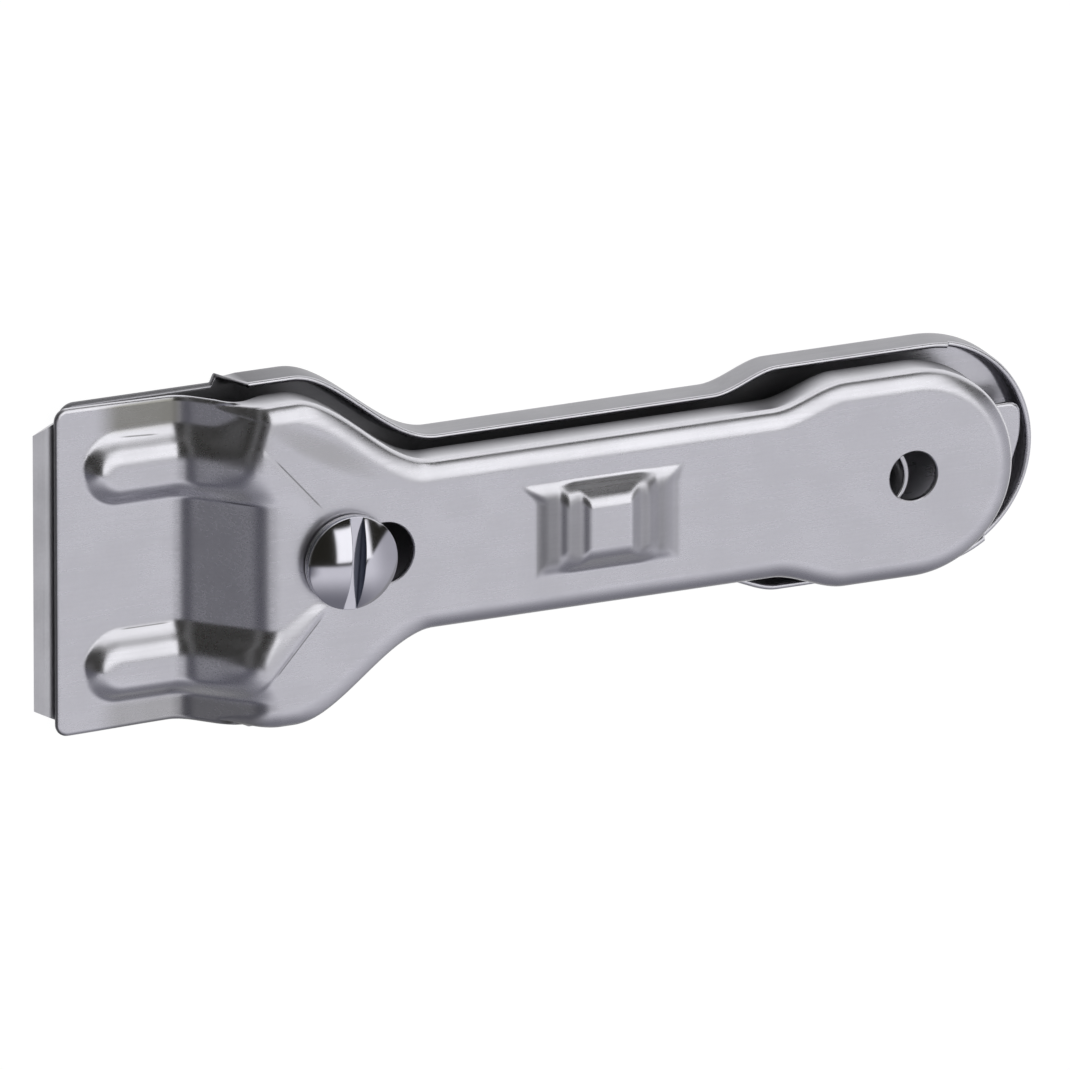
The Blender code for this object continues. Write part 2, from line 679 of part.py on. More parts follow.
def main():
    for leftover in list(bpy.data.objects):
        bpy.data.objects.remove(leftover)

    tool = bpy.data.objects.new("scraper", None)
    bpy.context.collection.objects.link(tool)
    tool.location.x = -MIDDLE_X

    brushed = metal("brushed_steel", (0.50, 0.50, 0.53), 0.34)
    ground = metal("ground_steel", (0.46, 0.47, 0.50), 0.28)
    turned_steel = metal("turned_steel", (0.42, 0.42, 0.44), 0.40)
    polished = metal("polished_chrome", (0.60, 0.60, 0.62), 0.08)

    make_rear_shell(tool, brushed)
    make_cover(tool, brushed)
    make_blade(tool, ground)
    make_studs(tool, turned_steel)
    make_post(tool, turned_steel)
    make_eyelet(tool, turned_steel)
    make_screw(tool, polished, turned_steel)


main()
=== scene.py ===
"""The looks of the household scraper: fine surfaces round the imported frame, and a small studio.

Places along X are counted in metres from the front edge of the cover's clamp plate, as on a drawing, and
each finished mesh is then shifted to where the frame has that edge.
"""

import math

import bmesh
import bpy
import numpy as np
from mathutils import Matrix, Vector


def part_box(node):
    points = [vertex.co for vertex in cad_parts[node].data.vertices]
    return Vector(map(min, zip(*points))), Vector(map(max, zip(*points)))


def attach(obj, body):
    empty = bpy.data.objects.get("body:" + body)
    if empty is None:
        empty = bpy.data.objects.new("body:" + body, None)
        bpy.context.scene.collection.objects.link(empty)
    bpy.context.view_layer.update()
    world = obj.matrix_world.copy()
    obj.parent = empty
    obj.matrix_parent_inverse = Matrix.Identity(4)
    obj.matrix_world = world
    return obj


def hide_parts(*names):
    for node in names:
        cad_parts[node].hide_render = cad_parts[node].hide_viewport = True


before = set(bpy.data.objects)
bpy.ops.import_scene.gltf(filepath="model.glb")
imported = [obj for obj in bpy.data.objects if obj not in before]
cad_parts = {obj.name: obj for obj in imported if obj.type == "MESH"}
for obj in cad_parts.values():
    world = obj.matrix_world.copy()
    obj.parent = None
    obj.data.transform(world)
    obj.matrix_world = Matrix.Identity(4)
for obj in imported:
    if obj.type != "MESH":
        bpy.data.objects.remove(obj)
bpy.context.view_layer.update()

MM = 0.001

# Sheet metal
SHEET = 0.8 * MM
EDGE_ROLL = 0.7 * MM
FLAT_INSET = 1.2 * MM
NEST = 1.2 * MM
REAR_HEAD_HALF = 22.75 * MM

# Cover: lengths along X, half widths and heights
PLATE_LENGTH = 16.7 * MM
RAMP_RUN = 8.4 * MM
RAMP_RISE = 9.3 * MM
HEAD_LENGTH = 3.6 * MM
SHOULDER_LENGTH = 19.8 * MM
COVER_SHOULDER = 19.0 * MM
HANDLE_LENGTH = 45.5 * MM
FLARE_LENGTH = 10.0 * MM
BULGE_LENGTH = 9.5 * MM
PLATE_HALF = 21.6 * MM
HEAD_HALF = 21.35 * MM
HANDLE_HALF = 11.15 * MM
BULGE_HALF = 13.7 * MM
COVER_CORNER = 1.7 * MM
COVER_WALL = 5.4 * MM
RAMP_FOOT = 1.5 * MM
RAMP_CROWN = 2.0 * MM
SHOULDER_ROUND = 4.2 * MM
SHOULDER_TURN = math.radians(33.0)
SLANT_ROUND = 6.6 * MM
SLANT_TURN = math.radians(22.0)
SLANT_NORMAL = 0.45
FRONT_NORMAL = 0.5
CORNER_ROUND = 1.0 * MM
FAN_X = 12.0 * MM

# Ribs, beads and thumb grip
RIB_Y = 13.0 * MM
RIB_FRONT = 3.8 * MM
RIB_HALF = 4.75 * MM
RIB_SIDE = 2.5 * MM
RIB_HEIGHT = 1.5 * MM
RIB_GROWTH = 0.8 * MM
RIB_ROUNDER = 0.8
RIB_FOOT = 0.12
RIB_SPREAD = 0.8
RIB_SPREAD_LAG = 0.5
RIB_UPPER_LEAD = 0.2
BEAD_START = (25.2 * MM, 15.0 * MM)
BEAD_END = (32.6 * MM, 6.6 * MM)
BEAD_WIDTH = 6.0 * MM
BEAD_TIP_WIDTH = 2.4 * MM
BEAD_LIP = 0.6 * MM
BEAD_HEIGHT = 0.26 * MM
BEAD_UPPER_SHARE = 0.2
BEAD_FADE = 1.0 * MM
BEAD_FALL = 0.8
BEAD_TIP = (1.15, 0.25)
BEAD_ROOT = (0.35, 0.3)
GRIP_FROM_SHOULDER = 22.4 * MM
GRIP_HALF_Y = 6.3 * MM
GRIP_SIDE = 2.86 * MM
GRIP_HEIGHT = 2.0 * MM
GRIP_EASE = 0.34
GRIP_EASE_SHARE = 0.9
GRIP_EASE_LEAST = 0.001
GRIP_STEPS = 3
GRIP_FIRST_RISER = 3.4 * MM
GRIP_PITCH = 2.75 * MM
GRIP_RISER = 1.5 * MM
GRIP_FAR_RISER = 2.2 * MM
GRIP_LAST_RUN = 1.5
GRIP_FOOT = 0.09
GRIP_LOW_SIDE = 0.5
GRIP_LOW_LAG = 0.3
GRIP_FLARE = 1.9 * MM
GRIP_FAR_FLARE = 0.6 * MM
GRIP_FLARE_Y = 3.4 * MM

# Tongue, slot and hanging hole of the cover
TONGUE_REACH = 3.5 * MM
TONGUE_EXTRA = 0.4 * MM
TONGUE_HALF = 5.3 * MM
TONGUE_DROP = 2.4 * MM
TONGUE_CORNER = 1.5 * MM
TONGUE_STRAIGHT = 0.8 * MM
TONGUE_SLANT = (1.5 * MM, -3.6 * MM)
TONGUE_GAP = 1.3 * MM
TONGUE_EASES = (0.8, 1.0, 1.2, 0.1, 0.1)
TONGUE_INSET = 0.6
SLOT_HALF = 4.05 * MM
SLOT_TRAVEL = 5.0 * MM
HANG_RADIUS = 3.25 * MM
HANG_FROM_END_CENTRE = 0.4 * MM
HOLE_LIP = 0.14 * MM
DRILL_DEPTH = 3.0 * SHEET

# Rear shell
REAR_FRONT = 1.2 * MM
REAR_CORNER = 2.2 * MM
REAR_DEPTH = 5.5 * MM
REAR_BEND = 1.6 * MM
REAR_SHOULDER_LAG = 2.2 * MM
REAR_FLARE_LEAD = 0.7 * MM
REAR_FLARE_LENGTH = 9.0 * MM
REAR_WALL_FROM_RAMP = 5.8 * MM
REAR_WALL_RUN = 2.5 * MM
REAR_STEP_RUN = 0.7 * MM
REAR_NOTCH_DEPTH = 0.9 * MM
REAR_NOTCH_LEFT = math.radians(78.0)
REAR_NOTCH_RIGHT = math.radians(56.0)
REAR_NOTCH_EASE = math.radians(2.0)
POST_HOLE = 3.3 * MM
STUD_HOLE = 1.8 * MM
EYELET_HOLE = 5.2 * MM

# Blade
BLADE_EDGE_HALF = 18.15 * MM
BLADE_CORNER_RUN = 3.7 * MM
BLADE_GRIND = 1.6 * MM
BLADE_EDGE = 0.06 * MM
BLADE_HOLE = 2.5 * MM
BLADE_ROWS = (12, 8, 8)

# Turned pieces
STUD_SPIGOT = 1.5 * MM
STUD_CHAMFER = 0.3 * MM
SHANK_RADIUS = 2.5 * MM
THREAD_DEPTH = 0.25 * MM
THREAD_PITCH = 0.8 * MM
HEAD_RIM = 0.6 * MM
HEAD_DOME = 1.9 * MM
HEAD_EASE = 0.22 * MM
DRIVE_WIDTH = 1.8 * MM
DRIVE_LIP = 0.12 * MM
DRIVE_TURN = math.radians(-4.5)
WASHER_BORE = 2.8 * MM
POST_RADIUS = 5.5 * MM
POST_PILOT = 3.75 * MM
POST_SPIGOT = 3.0 * MM
POST_BORE = 2.8 * MM
POST_FLOOR = 1.2 * MM
POST_THREAD_SHARE = 0.6
EYELET_RADIUS = 4.9 * MM
EYELET_WALL = 0.75 * MM
EYELET_FOOT_HEIGHT = 0.8 * MM
EYELET_EASES = (1.0, 1.0, 1.0, 2.0, 2.0, 2.0, 2.0, 2.0)
SEAT_GAP = 0.3 * MM
EASE = 0.15 * MM

# How dark and dull the metal is, from 0 where it is bright to 1: dull where it is sheared, and painted
# shade on the cover's wall and inside, inside the rear shell, on its outer walls, on the grip's stairs and
# on the screw's slot and rim
PLATE_EDGE_DULL_AND_SHADE = 0.85
WALL_SHADE_LEAD = 1.2
GRIP_TOP_SHADE = 0.42
GRIP_BOTTOM_SHADE = 0.78
GRIP_RISER_SHADE = (0.0, 0.05, 0.54)
GRIP_FAR_RISER_SHADE = 0.26
GRIP_SHADED_RISER_SPAN = 0.62
GRIP_SHADE_EASE = 0.08
GRIP_SLOPE_EASE = 0.3
GRIP_SLOPE_LEAD = 0.4
REAR_EDGE_DULL = 0.85
REAR_INNER_SHADE = 0.78
REAR_OUTER_SHADE = 0.6
REAR_HEAD_SHADE = 0.3
FLOOR_BRIGHT_FROM = 4.0 * MM
FLOOR_BRIGHT_RUN = 7.0 * MM
RIM_SHADE = 0.6
SHEARED_FROM = 0.12
REAR_SHEARED_FROM = 0.05

# Mesh fineness: steps round turns, rows over a sheet's edge and lines across the screw's head
TURN_STEPS = 128
EASE_STEPS = 5
EASE_SHARE = 0.45
CORNER_STEPS = 10
END_STEPS = 55
REAR_END_STEPS = 72
NOTCH_STEPS = 9
FACE_ROWS = 70
SHOULDER_ROWS = 10
CORNER_ROWS = 9
WALL_ROWS = 5
RIM_ROWS = 9
UNDER_ROWS = 12
TONGUE_ROWS = (4, 9, 4)
FLOOR_ROWS = 12
BEND_ROWS = 8
REAR_RIM_ROWS = 11
ROLL_START = 0.96
DOME_LINES = 36
LIP_LINES = 7
SLOT_LINES = 9
LINE_POINTS = 61
BLADE_LINES = 41
WELD = 0.00001 * MM
KEY_SHIFT = 100.0 * MM
KEY_STEP = 0.0001 * MM
KEY_BASE = 2**21
SHARP_ANGLE = math.radians(38.0)

# Places along X
RAMP_TOP_X = PLATE_LENGTH + RAMP_RUN
SHOULDER_X = RAMP_TOP_X + HEAD_LENGTH
HANDLE_X = SHOULDER_X + SHOULDER_LENGTH
FLARE_X = HANDLE_X + HANDLE_LENGTH
END_CENTRE_X = FLARE_X + FLARE_LENGTH + BULGE_LENGTH
COVER_END_X = END_CENTRE_X + BULGE_HALF
GRIP_X = HANDLE_X + GRIP_FROM_SHOULDER
TONGUE_END_X = COVER_END_X + TONGUE_REACH
HANG_X = END_CENTRE_X - HANG_FROM_END_CENTRE
REAR_END_X = TONGUE_END_X + TONGUE_GAP + SHEET
REAR_END_CENTRE_X = REAR_END_X - BULGE_HALF - NEST
REAR_WALL_X = PLATE_LENGTH + REAR_WALL_FROM_RAMP

# The frame gives the front edge of the clamp plate, the pieces' axes and the heights that they stand at
FRONT_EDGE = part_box("sliding_cover")[0].x
SCREW_X = (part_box("screw_washer")[0].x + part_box("screw_washer")[1].x) / 2 - FRONT_EDGE
EYELET_X = (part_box("hang_eyelet")[0].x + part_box("hang_eyelet")[1].x) / 2 - FRONT_EDGE
STUD_X = (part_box("blade_stud_left")[0].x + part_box("blade_stud_left")[1].x) / 2 - FRONT_EDGE
HEAD_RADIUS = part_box("clamp_screw")[1].y
WASHER_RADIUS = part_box("screw_washer")[1].y
WASHER_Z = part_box("screw_washer")[0].z
FACE_Z = WASHER_Z - SEAT_GAP
HEAD_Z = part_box("screw_washer")[1].z + SEAT_GAP
PLATE_Z = FACE_Z - RAMP_RISE
COVER_EDGE_Z = FACE_Z - COVER_WALL
TONGUE_Z = COVER_EDGE_Z - TONGUE_DROP
RAMP_SLOPE = RAMP_RISE / RAMP_RUN

COVER_WIDTHS = (PLATE_HALF, HEAD_HALF, HANDLE_HALF, BULGE_HALF)
COVER_TURNS = ((0.0, PLATE_LENGTH), (SHOULDER_X, COVER_SHOULDER), (FLARE_X, FLARE_LENGTH))
REAR_WIDTHS = (PLATE_HALF, REAR_HEAD_HALF, HANDLE_HALF + NEST, BULGE_HALF + NEST)
REAR_TURNS = (
    (REAR_WALL_X - REAR_STEP_RUN, REAR_STEP_RUN),
    (SHOULDER_X + REAR_SHOULDER_LAG, SHOULDER_LENGTH),
    (FLARE_X - SLOT_TRAVEL - REAR_FLARE_LEAD, REAR_FLARE_LENGTH),
)

# The photograph's view: turned to the blade's side and up, and nearly without perspective
VIEW_TURN = math.radians(24.0)
VIEW_RISE = math.radians(19.2)
VIEW_TARGET = Vector((-1.40 * MM, -2.71 * MM, 5.90 * MM))
VIEW_WIDTH = 133.75 * MM
LENS = 1250.0
SENSOR = 36.0
CLIP_END = 10.0
GREEN_LOSS = 0.15


def step(share):
    """A smooth step from 0 to 1 as the share goes from 0 to 1."""
    share = np.clip(share, 0.0, 1.0)
    return share * share * (3.0 - 2.0 * share)


def soft_rise(way, blend):
    """Zero before a bend and the way itself after it, with a parabola of half length blend between."""
    bent = (np.clip(way, -blend, blend) + blend) ** 2 / (4.0 * blend)
    return np.where(way > blend, way, bent)


def soft_min(one, other, blend):
    """The lower of two heights, rounded over where they come within blend of each other."""
    share = np.clip(0.5 + 0.5 * (other - one) / blend, 0.0, 1.0)
    return other + (one - other) * share - blend * share * (1.0 - share)


def half_width(x, widths, turns):
    """Half width of a shell at x: its first width, changed by a smooth step at each turn."""
    half = np.full_like(x, widths[0])
    for (start, length), before, after in zip(turns, widths, widths[1:]):
        half = half + (after - before) * step((x - start) / length)
    return half


def spaced(start, legs):
    """Places from start on, each leg given by its end and its largest spacing."""
    places = [np.array([start])]
    for end, spacing in legs:
        begin = places[-1][-1]
        count = max(1, math.ceil((end - begin) / spacing))
        places.append(np.linspace(begin, end, count + 1)[1:])
    return np.concatenate(places)


def eased(corners, radius, closed=False):
    """A polyline with rounded corners: each becomes a parabola from radius before it to radius after it."""
    points = np.array(corners)
    before = np.roll(points, 1, axis=0) - points
    after = np.roll(points, -1, axis=0) - points
    before_length = np.linalg.norm(before, axis=1, keepdims=True)
    after_length = np.linalg.norm(after, axis=1, keepdims=True)
    start = points + before / before_length * np.minimum(radius, EASE_SHARE * before_length)
    finish = points + after / after_length * np.minimum(radius, EASE_SHARE * after_length)
    share = np.linspace(0.0, 1.0, EASE_STEPS)[None, :, None]
    curve = start[:, None] * (1.0 - share) ** 2
    curve = curve + 2.0 * points[:, None] * share * (1.0 - share) + finish[:, None] * share**2
    if closed:
        return curve.reshape(-1, 2)
    return np.concatenate([points[:1], curve[1:-1].reshape(-1, 2), points[-1:]])


def grid_faces(stations, rows, loop_stations, loop_rows, first=0):
    """Corner numbers of the quads of a grid of stations by rows, which may close on itself either way."""
    number = first + np.arange(stations * rows).reshape(stations, rows)
    if loop_stations:
        number = np.concatenate([number, number[:1]], axis=0)
    if loop_rows:
        number = np.concatenate([number, number[:, :1]], axis=1)
    quads = np.stack([number[:-1, :-1], number[1:, :-1], number[1:, 1:], number[:-1, 1:]], axis=2)
    return quads.reshape(-1, 4)


def side_by_side(*parts):
    """Parts of a grid with their rows side by side, each part spread over all the stations."""
    stations = max(len(part) for part in parts if part.ndim == 2)
    spread = [np.broadcast_to(part, (stations, part.shape[-1])) for part in parts]
    return np.concatenate(spread, axis=1)


def piece_from(name, points, faces, dull_and_shade=None):
    """An object with a smooth closed mesh from points counted along X from the clamp plate's front edge.

    The last argument holds a value for each point, for dullness and painted shade, and without it the whole
    piece is bright.
    """
    points = points.reshape(-1, 3) + np.array([FRONT_EDGE, 0.0, 0.0])
    mesh = bpy.data.meshes.new(name)
    mesh.from_pydata(points.tolist(), [], faces.tolist())
    layer = mesh.attributes.new("dull_and_shade", "FLOAT", "POINT")
    layer.data.foreach_set("value", np.zeros(len(points)) if dull_and_shade is None else dull_and_shade.ravel())
    shape = bmesh.new()
    shape.from_mesh(mesh)
    bmesh.ops.remove_doubles(shape, verts=shape.verts, dist=WELD)
    bmesh.ops.dissolve_degenerate(shape, edges=shape.edges, dist=WELD)
    shape.to_mesh(mesh)
    shape.free()
    piece = bpy.data.objects.new(name, mesh)
    bpy.context.collection.objects.link(piece)
    soften(piece)
    return piece


def soften(piece):
    """Smooth shading, with true corners left sharp."""
    piece.data.shade_smooth()
    piece.data.set_sharp_from_angle(angle=SHARP_ANGLE)


def vertex_keys(mesh):
    """A whole number for each vertex, alike for vertices at one place, and the vertices' values of dullness
    and painted shade.
    """
    places = np.empty(len(mesh.vertices) * 3)
    mesh.vertices.foreach_get("co", places)
    dull_and_shade = np.empty(len(mesh.vertices))
    mesh.attributes["dull_and_shade"].data.foreach_get("value", dull_and_shade)
    steps = np.round((places.reshape(-1, 3) + KEY_SHIFT) / KEY_STEP).astype(np.int64)
    return steps @ np.array([1, KEY_BASE, KEY_BASE**2]), dull_and_shade


def combine(piece, tool, operation):
    """Cuts a closed tool out of a piece, or joins it on, and removes the tool.

    Vertices that stay keep their value of dullness and painted shade, and new ones are bright.
    """
    old_keys, old_dull_and_shade = vertex_keys(piece.data)
    order = np.argsort(old_keys)
    boolean = piece.modifiers.new("shape", "BOOLEAN")
    boolean.object = tool
    boolean.operation = operation
    boolean.solver = "EXACT"
    depsgraph = bpy.context.evaluated_depsgraph_get()
    result = bpy.data.meshes.new_from_object(piece.evaluated_get(depsgraph))
    keys, _ = vertex_keys(result)
    nearest = order[np.minimum(np.searchsorted(old_keys, keys, sorter=order), len(order) - 1)]
    dull_and_shade = np.where(old_keys[nearest] == keys, old_dull_and_shade[nearest], 0.0)
    result.attributes["dull_and_shade"].data.foreach_set("value", dull_and_shade)
    piece.modifiers.clear()
    spare = piece.data
    piece.data = result
    bpy.data.meshes.remove(spare)
    bpy.data.objects.remove(tool)
    soften(piece)


def turned(name, profile, centre_x, centre_y=0.0, length=0.0, loop_rows=False):
    """A profile of radius and height carried round a circle, or round a stadium that is longer by length.

    The profile runs up its outer side, and a point at radius 0 closes it there. A stadium is half a turn
    round its far centre and half a turn round its near one.
    """
    half_turn = np.linspace(-math.pi / 2, math.pi / 2, TURN_STEPS // 2)
    angle = np.concatenate([half_turn, half_turn + math.pi])[:, None]
    centre = np.repeat([centre_x + length, centre_x], TURN_STEPS // 2)[:, None]
    radius, height = np.array(profile).T
    x = centre + np.cos(angle) * radius
    y = centre_y + np.sin(angle) * radius
    points = np.stack([x, y, np.broadcast_to(height, x.shape)], axis=2)
    return piece_from(name, points, grid_faces(*x.shape, True, loop_rows))


def hole_tool(radius, face, depth, lip, centre_x, centre_y=0.0, length=0.0):
    """A drill through a sheet whose mouth flares, so that the hole's edge comes out with a small chamfer.

    Depth is the way from the face through the sheet and beyond, negative where it is drilled from below.
    """
    side = math.copysign(1.0, depth)
    profile = [
        (0.0, face - depth),
        (radius, face - depth),
        (radius, face - side * lip),
        (radius + 2.0 * lip, face + side * lip),
        (0.0, face + side * lip),
    ]
    if side < 0.0:
        profile = profile[::-1]
    return turned("hole_tool", profile, centre_x, centre_y, length)


def loop_stations(front, corner, places, straight, widths, turns, end_centre, spacing, ends):
    """Plan outline of a shell as one closed loop: front edge, corner, side, round end and the same back.

    Gives x, y, the outward normal and the x of the point on the middle line that the rows start from. The
    normal stays square to the middle line as far as straight.
    """
    side_y = half_width(places, widths, turns)
    front_y = np.linspace(0.0, side_y[0] - corner, math.ceil(side_y[0] / spacing), endpoint=False)
    turn = np.linspace(0.0, math.pi / 2, CORNER_STEPS, endpoint=False)
    tilt = np.gradient(side_y, places)
    tilt[places < straight] = 0.0
    tilt[-1] = 0.0
    length = np.hypot(1.0, tilt)
    radius = widths[-1]

    round_x, end_x = front + corner * (1.0 - np.cos(turn)), end_centre + radius * np.cos(ends)
    x = [front_y * 0.0 + front, round_x, places, end_x]
    y = [front_y, side_y[0] - corner * (1.0 - np.sin(turn)), side_y, radius * np.sin(ends)]
    normal_x = [front_y * 0.0 - 1.0, -np.cos(turn), -tilt / length, np.cos(ends)]
    normal_y = [front_y * 0.0, np.sin(turn), 1.0 / length, np.sin(ends)]
    x, y, normal_x, normal_y = (np.concatenate(part) for part in (x, y, normal_x, normal_y))
    spine = np.clip(x, FAN_X, end_centre)
    half = np.stack([x, y, normal_x, normal_y, spine], axis=1)
    back = half[-2:0:-1] * np.array([1.0, -1.0, 1.0, -1.0, 1.0])
    return np.concatenate([half, back])


def inward(stations, reach):
    """The stations' points moved in from the outline by reach, square to it."""
    x, y, normal_x, normal_y, _ = stations
    return x - normal_x * reach, y - normal_y * reach


def rib_height(x, y):
    """The two ribs: flat-topped capsules along X, steep at the foot and rounder on the upper side.

    They grow up the ramp and get rounder, and there the outer side of one spreads out to the cover's edge.
    """
    behind = np.minimum(x - RIB_FRONT - RIB_HALF, 0.0)
    upper = np.where(y > 0.0, y - RIB_Y, y + RIB_Y)
    climb = (x - PLATE_LENGTH) / RAMP_RUN
    climbed = step(climb)
    spread = 1.0 + RIB_SPREAD * step(climb * (1.0 + RIB_SPREAD_LAG) - RIB_SPREAD_LAG)
    away = np.hypot(behind, np.where(y > RIB_Y, upper / spread, upper))
    inside = RIB_HALF - away
    steep = np.sin(math.pi / 2 * np.minimum(soft_rise(inside / RIB_SIDE, RIB_FOOT), 1.0))
    domed = step(inside / RIB_HALF)
    rounder = RIB_ROUNDER * np.maximum(step(upper / RIB_HALF + RIB_UPPER_LEAD), climbed)
    return (RIB_HEIGHT + RIB_GROWTH * climbed) * (steep + rounder * (domed - steep))


def bead_height(x, y):
    """The beads from the ribs to the screw: a lip along a slanting line that falls off towards the ramp."""
    start, end = np.array(BEAD_START), np.array(BEAD_END)
    run = end - start
    length = np.hypot(*run)
    along_x, along_y = x - start[0], np.abs(y) - start[1]
    share = (along_x * run[0] + along_y * run[1]) / length**2
    inside = (along_x * run[1] - along_y * run[0]) / length
    width = BEAD_WIDTH + (BEAD_TIP_WIDTH - BEAD_WIDTH) * np.clip(share, 0.0, 1.0)
    across = step(inside / BEAD_LIP) * step((width - inside) / (BEAD_FALL * width))
    ends = step((BEAD_TIP[0] - share) / BEAD_TIP[1]) * step((share + BEAD_ROOT[0]) / BEAD_ROOT[1])
    seat = step((np.hypot(x - SCREW_X, y) - WASHER_RADIUS) / BEAD_FADE)
    share_of_side = np.where(y > 0.0, BEAD_UPPER_SHARE, 1.0)
    return BEAD_HEIGHT * share_of_side * across * ends * seat


def grip_forms(x, y):
    """The grip's two forms, from 0 at the foot to 1: stairs along X and a slope across Y.

    The third value gives each riser's place, 1 in its middle and 0 on the treads, and how much painted
    shade it takes there.
    """
    away = np.abs(x - GRIP_X)
    blade_side = x < GRIP_X
    run = np.where(blade_side, GRIP_RISER, GRIP_FAR_RISER)
    stairs = np.zeros_like(away)
    risers = []
    for number in range(GRIP_STEPS):
        riser = GRIP_FIRST_RISER + number * GRIP_PITCH
        if number == GRIP_STEPS - 1:
            flare = np.where(blade_side, GRIP_FLARE, GRIP_FAR_FLARE)
            riser = riser + flare * step((y - GRIP_FLARE_Y) / (GRIP_HALF_Y - GRIP_FLARE_Y))
            run = run * GRIP_LAST_RUN
        stairs = stairs + step((riser - away) / run + 0.5) / GRIP_STEPS
        riser_shade = np.where(blade_side, GRIP_RISER_SHADE[number], GRIP_FAR_RISER_SHADE)
        risers.append((step(1.0 - np.abs(riser - away) / (run * GRIP_SHADED_RISER_SPAN)), riser_shade))
    low_steps = step((away - GRIP_FIRST_RISER) / GRIP_PITCH - GRIP_LOW_LAG)
    slope = (GRIP_HALF_Y - np.abs(y)) / (GRIP_SIDE * (1.0 + GRIP_LOW_SIDE * low_steps))
    return stairs, slope, risers


def grip_height(x, y):
    """The thumb grip: the lower of its stairs and its slope, with eased edges."""
    stairs, slope, _ = grip_forms(x, y)
    ease = np.minimum(GRIP_EASE, GRIP_EASE_SHARE * stairs + GRIP_EASE_LEAST)
    lower = soft_min(stairs, slope, ease)
    return GRIP_HEIGHT * soft_rise(lower - GRIP_FOOT, GRIP_FOOT) / (1.0 - GRIP_FOOT)


def grip_shade(x, y):
    """Painted shade on the stairs: on the treads, more so lower down, but not on every riser."""
    stairs, slope, risers = grip_forms(x, y)
    on_stairs = step((slope - stairs) / GRIP_SLOPE_EASE + GRIP_SLOPE_LEAD)
    on_stairs = on_stairs * step(stairs / GRIP_SHADE_EASE) * step((1.0 - stairs) / GRIP_SHADE_EASE)
    dull_and_shade = GRIP_BOTTOM_SHADE + stairs * (GRIP_TOP_SHADE - GRIP_BOTTOM_SHADE)
    for at_riser, riser_shade in risers:
        dull_and_shade = dull_and_shade + at_riser * (riser_shade - dull_and_shade)
    return on_stairs * dull_and_shade


def cover_height(x, y, depth):
    """Height of the cover's sheet: plate, ribs and ramp, held down to the face with its beads and grip."""
    x, y = np.broadcast_arrays(x, y)
    lean = depth * math.tan(math.atan(RAMP_SLOPE) / 2.0)
    climb = RAMP_SLOPE * soft_rise(x - PLATE_LENGTH - lean, RAMP_FOOT)
    low = PLATE_Z - depth + climb + rib_height(x, y)
    high = FACE_Z - depth + bead_height(x, y) + grip_height(x, y)
    return soft_min(low, high, RAMP_CROWN)


def rolled_edge(count, start_reach):
    """Reach and drop of a plain sheet's edge: in to the roll, half an ellipse round it and out below."""
    run = np.linspace(start_reach, EDGE_ROLL, count[0])
    turn = np.linspace(0.0, math.pi, count[1] + 2)[1:-1]
    back = np.linspace(EDGE_ROLL, start_reach, count[2])
    reach = np.concatenate([run, EDGE_ROLL * (1.0 - np.sin(turn)), back])
    drop = np.concatenate([run * 0.0, SHEET / 2 * (1.0 - np.cos(turn)), back * 0.0 + SHEET])
    return reach, drop


def cover_stations():
    """Stations round the cover, close together at its ribs, bends and steps."""
    grip_reach = GRIP_FIRST_RISER + GRIP_STEPS * GRIP_PITCH
    places = spaced(
        COVER_CORNER,
        [
            (PLATE_LENGTH - 1.5 * RAMP_FOOT, 0.5 * MM),
            (PLATE_LENGTH + 1.5 * RAMP_FOOT, 0.22 * MM),
            (RAMP_TOP_X - RAMP_CROWN, 0.32 * MM),
            (RAMP_TOP_X + 1.5 * RAMP_CROWN, 0.26 * MM),
            (HANDLE_X, 0.6 * MM),
            (GRIP_X - grip_reach, 1.0 * MM),
            (GRIP_X + grip_reach, 0.25 * MM),
            (FLARE_X, 1.0 * MM),
            (FLARE_X + FLARE_LENGTH, 0.5 * MM),
            (END_CENTRE_X, 0.9 * MM),
        ],
    )
    ends = np.linspace(math.pi / 2, 0.0, END_STEPS)[1:]
    return loop_stations(
        0.0, COVER_CORNER, places, PLATE_LENGTH, COVER_WIDTHS, COVER_TURNS, END_CENTRE_X, 0.48 * MM, ends
    )


